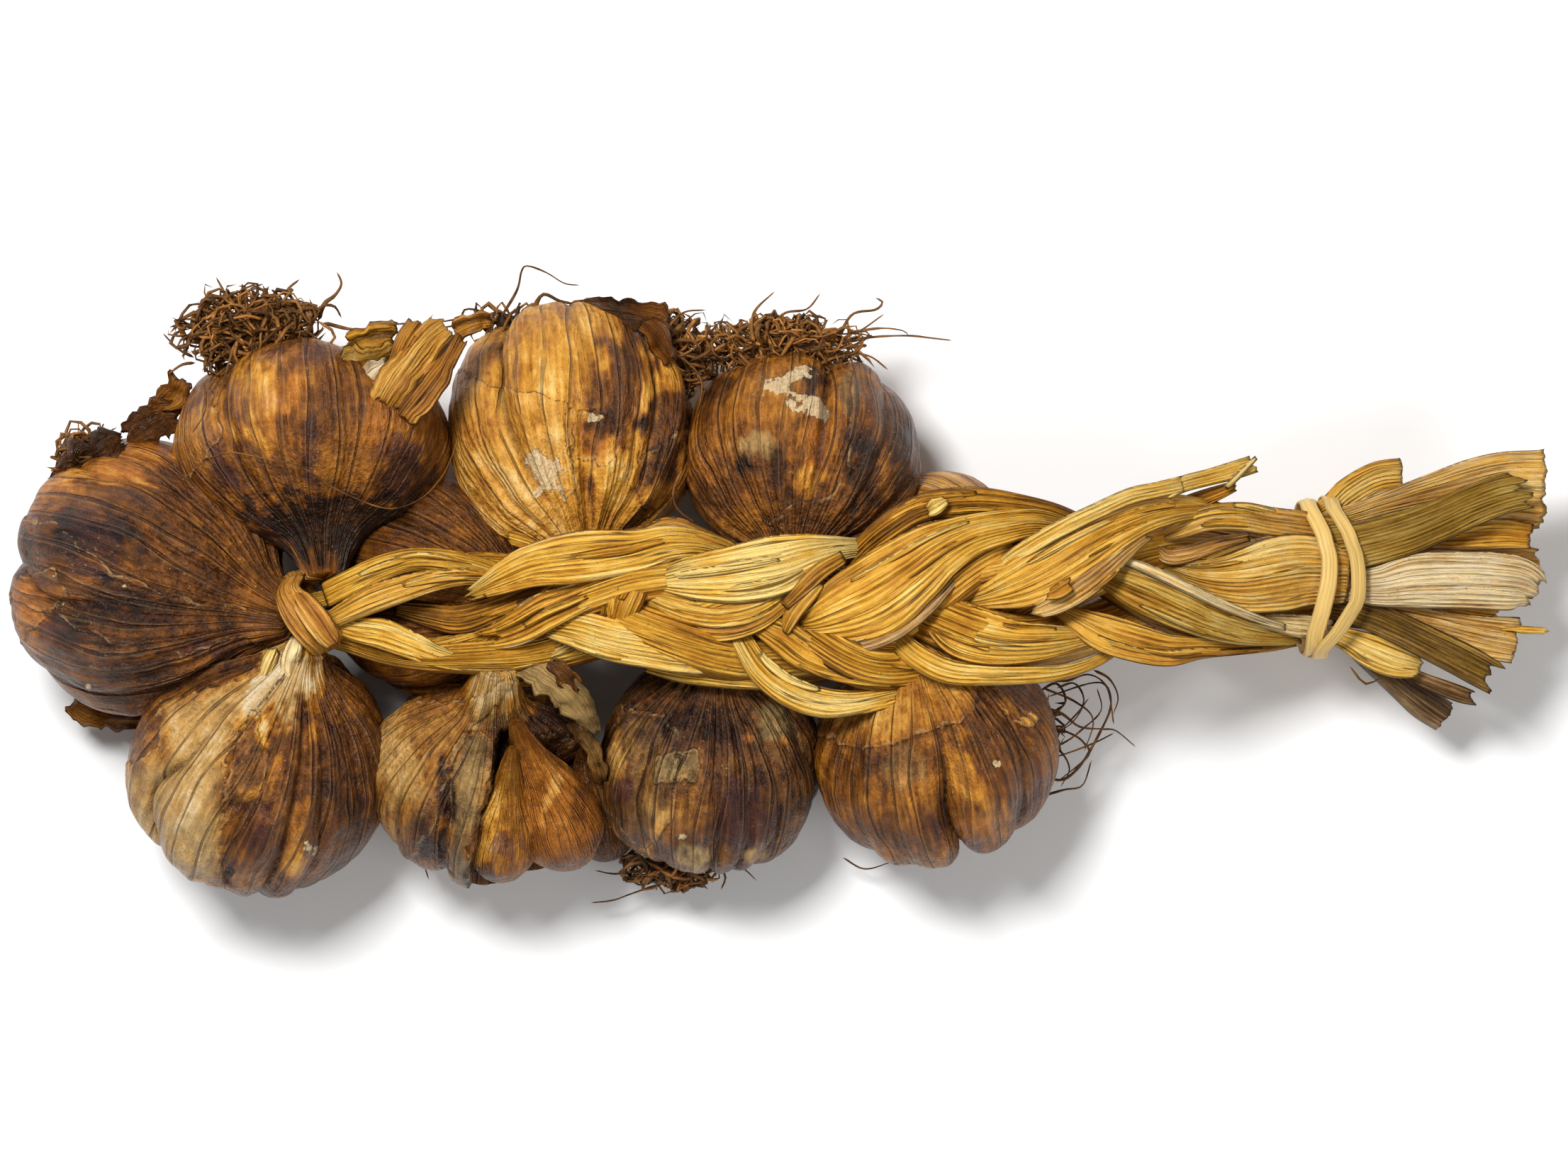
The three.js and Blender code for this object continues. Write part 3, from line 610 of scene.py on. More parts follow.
            TONE: [(14, -44, 5, 10, 0.1), (24, -46, 8, 8, 0.12), (40, -41, 3.4, 12, 0.24, 42),
                (52, -38, 5, 12, -0.12, 10), (40, -52, 8, 3, 0.12, 10), (32, -52, 4, 3.4, -0.1, 20),
                (20, -57, 8, 3, 0.1, -10), (20, -51, 4, 5, -0.1, 10)],
            RUST: [(14, -42, 5, 10, 0.3), (25.5, -38.5, 4, 4, 0.3), (40, -53, 9, 4, 0.5, 10),
                (18, -55, 8, 5, 0.4, -10), (48, -40, 8, 9, 0.3, 10)],
            KHAKI: [(25.5, -38.5, 5, 5, 0.5)],
            CREAM: [(38, -39, 2, 7, 0.34, 42), (31, -52, 1.6, 1.2, 0.5), (45.5, -37.5, 1.8, 1.4, 0.7, 20)],
            PURPLE: [(52, -47, 4, 4, 0.5), (32, -52, 4, 4, 0.6, 20)]}),
    "bulb_9": dict(
        centre=(-78, 0.6, 22), neck=(-50, -6, 43), radius=24.4, tone=0.4, rust=0.36, purple=0.1, cloves=6,
        depth=0.09, ribs=0.8, grid=(200, 90),
        # The tone mark at (-84, -16) lightens the spot of a highlight: painted highlight.
        marks={TONE: [(-84, -16, 8, 5, 0.12, 20), (-76, -20, 6, 4, 0.14), (-76, 18, 12, 8, -0.08)]}),
    "bulb_10": dict(
        centre=(33.4, 6, 17.8), neck=(57, 0, 36), radius=20.4, tone=0.5, khaki=0.2, rust=0.1, cloves=5,
        depth=0.08, ribs=1.3, grid=(180, 80),
        marks={TONE: [(35, 24, 7, 4, 0.12)], CREAM: [(33, 23, 3, 2, 0.3)]}),
}

CLOVES = {
    "clove_1": dict(
        centre=(-62.4, -62.4, 30), neck=(-58.4, -35, 50), radius=7.7, tone=0.6, rust=0.25, purple=0.1,
        marks={
            TONE: [(-63, -47, 3, 4, 0.26), (-63, -54, 2.4, 4, 0.2), (-65, -62, 3, 3, -0.3)],
            # The cream mark at (-65.4, -52) is a painted highlight along the clove's left edge.
            CREAM: [(-65.4, -52, 1.6, 5, 0.44, 8)], PURPLE: [(-60, -55, 5, 5, 0.6)],
            RUST: [(-60, -62, 4, 3, 0.6)]}),
    "clove_2": dict(
        centre=(-46.4, -59.4, 25.4), neck=(-57.6, -29.6, 50), radius=9.6, tone=0.56, rust=0.9,
        marks={
            # The tone mark at (-50.5, -45) is a painted highlight streak.
            TONE: [(-50.5, -45, 1.6, 7, 0.34, -24), (-43.6, -46, 2, 6, -0.2, -20), (-50, -40, 5, 4, 0.1)],
            PURPLE: [(-45, -56, 3, 4, 0.3)]}),
    "clove_3": dict(
        centre=(-38.6, -59, 13), neck=(-44, -34, 28), radius=7.6, tone=0.26, rust=0.3, purple=0.2),
}


def outline(spec, length, neck):
    """The half outline of a bulb from its root plate to its neck, as radius and height over its radius."""
    base, crown = spec.get("base", 1), spec.get("crown", 1)
    low = [(0, -0.62), (0.2, -0.66), (0.45, -0.68), (0.84, -0.48)]
    high = [(0.94, 0.42), (0.66, 0.82), (0.31, 1.1)]
    points = [(r, h * base) for r, h in low] + [(1, 0)] + [(r, h * crown) for r, h in high]
    top = max(length, 1.2 * crown + 0.06)
    points += [(neck, top), (neck * 0.9, top + 0.04), (0, top + 0.05)]
    return curve([(r, h, 0) for r, h in points], 400)[:, :2]


def inside(spots, corners):
    """Distance in mm inside an outline, below zero outside it."""
    corners = np.array(corners, float)
    best = np.full(len(spots), 1e9)
    odd = np.zeros(len(spots), bool)
    for a, b in zip(corners, np.roll(corners, -1, axis=0)):
        run = b - a
        share = np.clip(((spots - a) @ run) / (run @ run), 0, 1)
        best = np.minimum(best, np.linalg.norm(spots - a - share[:, None] * run, axis=1))
        crosses = (a[1] > spots[:, 1]) != (b[1] > spots[:, 1])
        across = a[0] + (spots[:, 1] - a[1]) / (run[1] if abs(run[1]) > 1e-9 else 1e-9) * run[0]
        odd ^= crosses & (spots[:, 0] < across)
    return np.where(odd, best, -best)


BULB_GRID = (280, 124)
CLOVE_GRID = (110, 80)
NECK_RADIUS = 4.6
CLOVE_LINE = [(0, -1.1), (0.5, -0.98), (0.92, -0.4), (1, 0.2), (0.8, 1.1), (0.42, 2.1)]
FULL_TURN = 2 * math.pi


class Shell:
    """A bulb's smooth outline turned round its axis: the angle, height, place and way out of each point."""

    def __init__(self, name, spec, number, clove):
        turns, rings = CLOVE_GRID if clove else spec.get("grid", BULB_GRID)
        work = bmesh.new()
        bmesh.ops.create_uvsphere(work, u_segments=turns, v_segments=rings, radius=1)
        # The layout below mirrors the ball, so its faces are turned over to point outwards.
        bmesh.ops.reverse_faces(work, faces=work.faces)
        self.mesh = bpy.data.meshes.new(name)
        work.to_mesh(self.mesh)
        work.free()
        ball = places_of(self.mesh)

        self.radius = radius = spec["radius"]
        self.centre, neck = np.array(spec["centre"], float), np.array(spec["neck"], float)
        axis = unit(neck - self.centre)
        if clove:
            self.centre = self.centre + axis * radius * 1.05
        reach = np.linalg.norm(neck - self.centre)
        self.side = unit(np.cross(UP, axis))
        self.top = np.cross(axis, self.side)
        if clove:
            points = CLOVE_LINE + [(0.16, reach / radius), (0, reach / radius + 0.1)]
            line = curve([(r, h, 0) for r, h in points], 400)[:, :2]
        else:
            line = outline(spec, reach / radius, NECK_RADIUS / radius)

        self.turn = np.arctan2(ball[:, 1], ball[:, 0])
        self.share = np.arccos(np.clip(-ball[:, 2], -1, 1)) / math.pi
        steps = np.linspace(0, 1, len(line))
        self.around = np.interp(self.share, steps, line[:, 0])
        self.height = np.interp(self.share, steps, line[:, 1])
        slope = np.gradient(line, axis=0)
        lean_out = np.interp(self.share, steps, slope[:, 1])
        lean = unit(columns(lean_out, -np.interp(self.share, steps, slope[:, 0])))
        self.ring = columns(np.cos(self.turn), np.sin(self.turn), 0)
        out = self.ring[:, :1] * self.top + self.ring[:, 1:2] * self.side
        self.normal = unit(out * lean[:, :1] + axis * lean[:, 1:])
        self.offset = (out * self.around[:, None] + axis * self.height[:, None]) * radius
        wide = np.maximum(self.around, 0.25)
        self.grain = columns(self.ring[:, 0] * wide * radius, self.ring[:, 1] * wide * radius,
                             self.height * radius) + number * 41.0

    def by_ring(self, scale, up):
        """Places for noise that follows the bulb round and up."""
        return columns(self.ring[:, 0] * scale, self.ring[:, 1] * scale, self.height * up)


def creases(spec, shell, rng):
    """Angles and depths of the creases between lobes: the clefts that are given, and others between them."""
    found = []
    for x, y, depth in spec.get("clefts", []):
        flat = np.array([x, y]) - shell.centre[:2]
        lift = math.sqrt(max(shell.radius ** 2 - flat @ flat, 9))
        spot = np.array([*flat, lift])
        found.append((math.atan2(spot @ shell.side, spot @ shell.top), depth))
    start = found[0][0] if found else 0.6
    for k in range(spec["cloves"]):
        angle = start + (k + rng.uniform(-0.16, 0.16)) * FULL_TURN / spec["cloves"]
        gaps = [abs((angle - a + math.pi) % FULL_TURN - math.pi) for a, _ in found]
        if not gaps or min(gaps) > 0.52:
            found.append((angle, spec["depth"] * rng.uniform(0.8, 1.5)))
    found.sort(key=lambda pair: pair[0] % FULL_TURN)
    return np.array([a % FULL_TURN for a, _ in found]), np.array([d for _, d in found])


def press_lobes(spec, shell, number, rng):
    """Presses creases into the shell, and gives the painted shade towards each crease and a random tone for
    each lobe.
    """
    angles, depths = creases(spec, shell, rng)
    here = (shell.turn + lumps(shell.by_ring(1.3, 1.6), 5 + number) * 0.13 - angles[0]) % FULL_TURN
    ends = np.append(angles - angles[0], FULL_TURN)
    index = np.clip(np.searchsorted(ends, here, side="right") - 1, 0, len(angles) - 1)
    gap = ends[index + 1] - ends[index]
    part = (here - ends[index]) / gap
    near = np.where(part < 0.5, depths[index], depths[(index + 1) % len(angles)])
    hump = np.clip(4 * part * (1 - part), 0, 1) ** 0.5
    fade = 1 - 0.9 * smooth((shell.height - 0.2) / (0.95 * spec.get("crown", 1)))
    reach_in = 1.22 * smooth(shell.share / 0.12) * fade
    shell.offset *= (1 - near * (1 - hump) * reach_in)[:, None]
    from_crease = np.minimum(part, 1 - part)
    # Painted shade: darker towards each crease between lobes.
    hollow_shade = smooth(1 - from_crease * gap * shell.radius / 1.5)
    hollow_shade = hollow_shade * reach_in * np.clip(near * 6, 0, 1) * 0.8
    lobe = rng.uniform(-1, 1, len(angles))[index] * reach_in * smooth(from_crease * 12)
    return hollow_shade, lobe


def press_skin(spec, shell, number):
    """The shell's points with pleats that gather towards the neck, dents and fine crumples."""
    ribs = spec.get("ribs", 0.6)
    gather = smooth((shell.height + 0.3) / 1.3)
    pleat = lumps(shell.by_ring(8, 0.7), 21 + number)
    fine = lumps(shell.by_ring(19, 0.9), 31 + number)
    offset, normal = shell.offset, shell.normal
    press = offset + crumple(offset / 15, 3 + number, 3)[:, None] * normal * 0.75 * min(shell.radius / 24, 1)
    press += crumple(offset / 4.5, 9 + number, 2)[:, None] * normal * 0.2
    slim = np.clip(shell.around * 1.6, 0.1, 1)
    folds = pleat * (0.12 + 0.55 * gather) * ribs * slim + fine * (0.08 + 0.2 * gather) * ribs * slim
    press += normal * folds[:, None]
    return shell.centre + press


def tear_and_stain(spec, shell, number, spots, state):
    """Torn layers and marks, on the side that faces up. Gives the points and their distance from an edge."""
    broken = crumple(shell.grain * (0.5, 0.5, 0.16), 61 + number, 3)
    ragged = lumps(shell.grain * (0.35, 0.35, 0.3), 71 + number)
    faces_up = smooth((shell.normal[:, 2] + 0.25) / 0.3)
    edge = np.full(len(spots), NO_EDGE)
    for corners, lift, changes in spec.get("skins", []):
        depth = inside(spots[:, :2], corners) + broken * 1.2 + ragged * 0.5
        depth = np.where(faces_up > 0.5, depth, NO_EDGE)
        step = smooth((depth + 0.25) / (0.4 + 0.3 * abs(lift)))
        spots = spots + shell.normal * (step * lift)[:, None]
        for kind, amount in changes.items():
            state[:, kind] += (0.25 * smooth((depth + 0.3) / 0.6) + 0.75 * smooth((depth + 1.2) / 5)) * amount
        edge = np.where(np.abs(depth) < np.abs(edge), depth, edge)
    for kind, marks in spec.get("marks", {}).items():
        soft = 0.5 if kind == CREAM else 0.62
        for x, y, long, wide, amount, *turned in marks:
            angle = math.radians(sum(turned))
            dx, dy = spots[:, 0] - x, spots[:, 1] - y
            u = (dx * math.cos(angle) + dy * math.sin(angle)) / long
            v = (dy * math.cos(angle) - dx * math.sin(angle)) / wide
            far = np.sqrt(u * u + v * v) + broken * 0.6 + ragged * 0.16
            state[:, kind] += smooth((1.1 - far) / soft) * amount * faces_up
    return spots, edge


def bulb(name, spec, number, material, clove=False):
    """A bulb with bulging cloves under papery skin: pleats, creases, torn layers and stains."""
    rng = np.random.default_rng(40 + number)
    shell = Shell(name, spec, number, clove)
    hollow_shade, lobe = (0, 0) if clove else press_lobes(spec, shell, number, rng)
    spots = press_skin(spec, shell, number)
    state = np.zeros((len(spots), 6))
    for kind, key in ((PURPLE, "purple"), (RUST, "rust"), (KHAKI, "khaki"), (TONE, "tone")):
        state[:, kind] = spec.get(key, 0)
    state[:, TONE] += lobe * 0.045 + 0.05 * crumple(shell.offset / 20, 50 + number, 2)
    spots, edge = tear_and_stain(spec, shell, number, spots, state)
    if not clove:
        state[:, TONE] -= smooth(1 - shell.share / 0.07) * 0.2
    state[:, TONE] = np.clip(state[:, TONE], 0.02, 1.1)
    spots[:, 2] = np.maximum(spots[:, 2], 0.02)
    shell.mesh.vertices.foreach_set("co", ((spots + SHEET) * MM).astype(np.float32).ravel())
    store(shell.mesh, {
        "grain": shell.grain,
        "ring": columns(shell.ring[:, 0], shell.ring[:, 1], shell.height),
        "tint": np.clip(state[:, [PURPLE, RUST, KHAKI]], 0, 1.2),
        "wear": columns(state[:, TONE], np.clip(state[:, CREAM], 0, 1),
                        np.clip(hollow_shade + state[:, HOLLOW_SHADE], 0, 1)),
        "edge": edge,
    })
    shell.mesh.update()
    return piece_of(f"{name}_skin", shell.mesh, material, [name])


# ---------------------------------------------------------------- ribbons of leaf


def leaf(*stations, **look):
    """Stations (x, y, z, half width) of one leaf, and its look."""
    return list(stations), look


def paper(*stations, **look):
    """Stations of one scrap of torn papery skin, and its look."""
    return list(stations), {"weave": 0.3, "thick": 0.45, "torn": 1.0, **look}


def ribbon(stations, tone=0.5, olive=0.0, grey=0.0, ember=0.0, pale=0.0, thick=0.7, bend=11.0,
           roll=(0, 0), ends=(0, 0), ribs=0.17, seed=0, hub=None, buckle=0.4, curl=0.0, gap=0.34, lift=0.0,
           edge=0.0, tip=0.7, weave=1.0, torn=0.0, skin=False):
    """One flattened strip through stations (x, y, z, half width), closed all round, ribbed along its length.

    bend is the radius of its crown in mm, roll its tilt in degrees at both ends, ends how ragged each end is,
    gap the spacing of its points and edge how pale its sides are. With torn it is a scrap of crumpled paper.
    """
    stations = np.array(stations, float)
    stations[:, 2] += lift
    length = np.linalg.norm(np.diff(stations[:, :3], axis=0), axis=1).sum()
    width = stations[:, 3].mean()
    widest = stations[:, 3].max()
    around = 2 * int(np.clip(2 * widest / gap, 4, 60))
    along = int(np.clip(length / 0.9, 10, 240))
    line = curve(stations, 300)
    way = unit(np.gradient(line[:, :3], axis=0))
    outer = UP if hub is None else unit(line[:, :3] - np.array(hub, float))
    across = unit(np.cross(way, outer))
    over = unit(np.cross(across, way))

    def shape(u, v):
        upper = np.where(u < 0.5, 1.0, -1.0)
        c = np.where(u < 0.5, 4 * u - 1, 3 - 4 * u)
        from_middle = np.abs(c)
        flank = np.where(c > 0, 3.0, 8.0)
        far = v * length

        # The place along the line, with ragged ends, and the way across and out there.
        shred = crumple(columns(c * widest / 1.6, seed * 3.1, 0), 5 + seed, 3)
        first = np.clip(0.5 + 0.6 * shred, 0, 1) * ends[0] / length
        last = np.clip(0.5 - 0.6 * shred, 0, 1) * ends[1] / length
        place = (first + v * (1 - first - last)) * (len(line) - 1)
        here = sample(line, place)
        a, o = sample(across, place), sample(over, place)
        angle = np.radians(roll[0] + (roll[1] - roll[0]) * v)[:, None]
        a, o = a * np.cos(angle) + o * np.sin(angle), o * np.cos(angle) - a * np.sin(angle)

        # The width, with a sway and torn sides.
        sway = lumps(columns(far / 16, flank, seed), 15 + seed) * 0.09
        half = here[:, 3] * (1 + sway * from_middle)
        half = half * (1 + torn * 0.42 * crumple(columns(far / 2.6, flank, seed), 85 + seed, 3))

        # The height over the line: thickness, ribs, crown, buckles, curled sides and crumples.
        rim = np.clip(1 - from_middle ** 5, 0, 1) ** 0.5
        close = np.clip(np.minimum(v, 1 - v) * length / tip, 0, 1) ** 0.5
        rib_at = c * width / 1.4 + lumps(columns(far / 22, c * 1.5, seed), 35 + seed) * 0.3
        rib = lumps(columns(rib_at, far / 34, seed * 2.3), 25 + seed)
        small = lumps(columns(rib_at * 2.7, far / 26, seed * 1.7), 45 + seed)
        h = upper * thick / 2 * rim * close + (rib * ribs * 1.15 + small * ribs * 0.4) * rim * close
        h += -(c * half) ** 2 / (2 * bend) + buckle * lumps(columns(c * 1.4, far / 8, seed), 55 + seed)
        h += curl * np.clip(from_middle - 0.55, 0, 1) ** 2
        h += torn * 1.5 * crumple(columns(c * half / 3.4, far / 4.2, seed * 1.3), 95 + seed, 3) * close
        spots = here[:, :3] + a * (c * half)[:, None] + o * h[:, None]
        spots[:, 2] = np.maximum(spots[:, 2], FLOOR_GAP)

        # What the material reads.
        # The tone is a little lighter on the raised ribs and darker between them: painted shading.
        shade = tone + 0.08 * lumps(columns(far / 12, c, seed), 65 + seed) + 0.04 * rib + 0.05 * small
        # Painted shade: darker in the valleys of the small ribs and along the strip's sides.
        sunk_shade = np.clip(-small * 1.2 - 0.7, 0, 1) * 0.4 + smooth((from_middle - 0.93) / 0.07) * 0.3
        patches = smooth(0.5 + 2 * lumps(columns(far / 7, c > 0, seed), 75))
        rim_pale = pale + edge * smooth((from_middle - 0.72) / 0.2) * patches
        marks = {"grain": columns(c * width * weave + seed * 23.7, upper * 2, far + seed * 71.0)}
        if skin:
            marks["tint"] = columns(np.full(len(u), olive), ember, grey)
            marks["wear"] = columns(shade + 0.12, 0, 0)
            marks["ring"] = columns(np.cos(c), np.sin(c), far / 30)
            marks["edge"] = np.full(len(u), NO_EDGE)
        else:
            marks["tint"] = columns(np.full(len(u), olive), grey, ember)
            marks["wear"] = columns(shade, rim_pale, np.clip(sunk_shade, 0, 0.8))
        return spots, marks

    return around, along, shape


def fibre(points, thick, tone=0.3, seed=0, sides=5, step=1.6):
    """One thin root through the points, round in section and thinner to its end."""
    points = np.array(points, float)
    length = np.linalg.norm(np.diff(points, axis=0), axis=1).sum()
    along = int(np.clip(length / step, 4, 60))
    line = curve(points, max(80, along))
    way = unit(np.gradient(line, axis=0))
    first = unit(np.cross(way, np.where(np.abs(way[:, 2:]) < 0.9, UP, (1, 0, 0))))
    second = np.cross(way, first)

    def shape(u, v):
        spot, a, b = (sample(table, v * (len(line) - 1)) for table in (line, first, second))
        size = thick / 2 * (1 - 0.55 * v) * np.clip(np.minimum(v, 1 - v) * 40, 0, 1)
        size = size * (1 + 0.2 * lumps(columns(v * length / 2, seed, 0), seed))
        turn = u * FULL_TURN
        spots = spot + a * (np.cos(turn) * size)[:, None] + b * (np.sin(turn) * size)[:, None]
        spots[:, 2] = np.maximum(spots[:, 2], FLOOR_GAP)
        return spots, {
            "grain": columns(np.cos(turn) * 0.6 + seed, np.sin(turn) * 0.6, v * length),
            "tint": np.zeros((len(u), 3)),
            "wear": columns(tone + 0.1 * lumps(columns(v * length / 4, seed, 3), seed), 0, 0),
        }

    return sides, along, shape


# ---------------------------------------------------------------- the plait

# Numbers along the plait, each with its x: the middle line, how far a strand swings, and a strand's size.
PLAIT_Y = [(-100, -6.4), (-60, -5.2), (-25, -4.6), (0, -6.8), (20, -7.4), (45, -1.2), (70, 0.2), (120, 2.2)]
PLAIT_Z = [(-100, 47), (-82, 52), (20, 50.5), (40, 49), (65, 43), (95, 33), (120, 27)]
SWING_Y = [(-100, 2.8), (-84, 9.6), (-60, 9.8), (-25, 8.4), (20, 10), (42, 12), (70, 10), (95, 8.8),
           (116, 6.6)]
SWING_Z = [(-100, 1.6), (-80, 3.4), (-50, 5.6), (80, 5.8), (110, 4.6)]
HALF_WIDTH = [(-100, 3.1), (-72, 4.4), (-55, 7), (-25, 8.2), (45, 8.8), (90, 8.4), (116, 7.8)]

# Where each strand is in its turn, in degrees, at places along the plait.
BEATS = {
    "strand_1": [(-102, -50), (-74, -60), (-52, 0), (-18, 90), (3, 180), (24, 270), (58, 360), (90, 450),
                 (118, 520)],
    "strand_2": [(-102, 60), (-70, 90), (-40, 180), (-8, 270), (27, 360), (56, 450), (74, 540), (103, 630),
                 (120, 650)],
    "strand_3": [(-102, -80), (-62, -90), (-25, 0), (6, 90), (29, 180), (56, 270), (92, 360), (122, 430)],
}

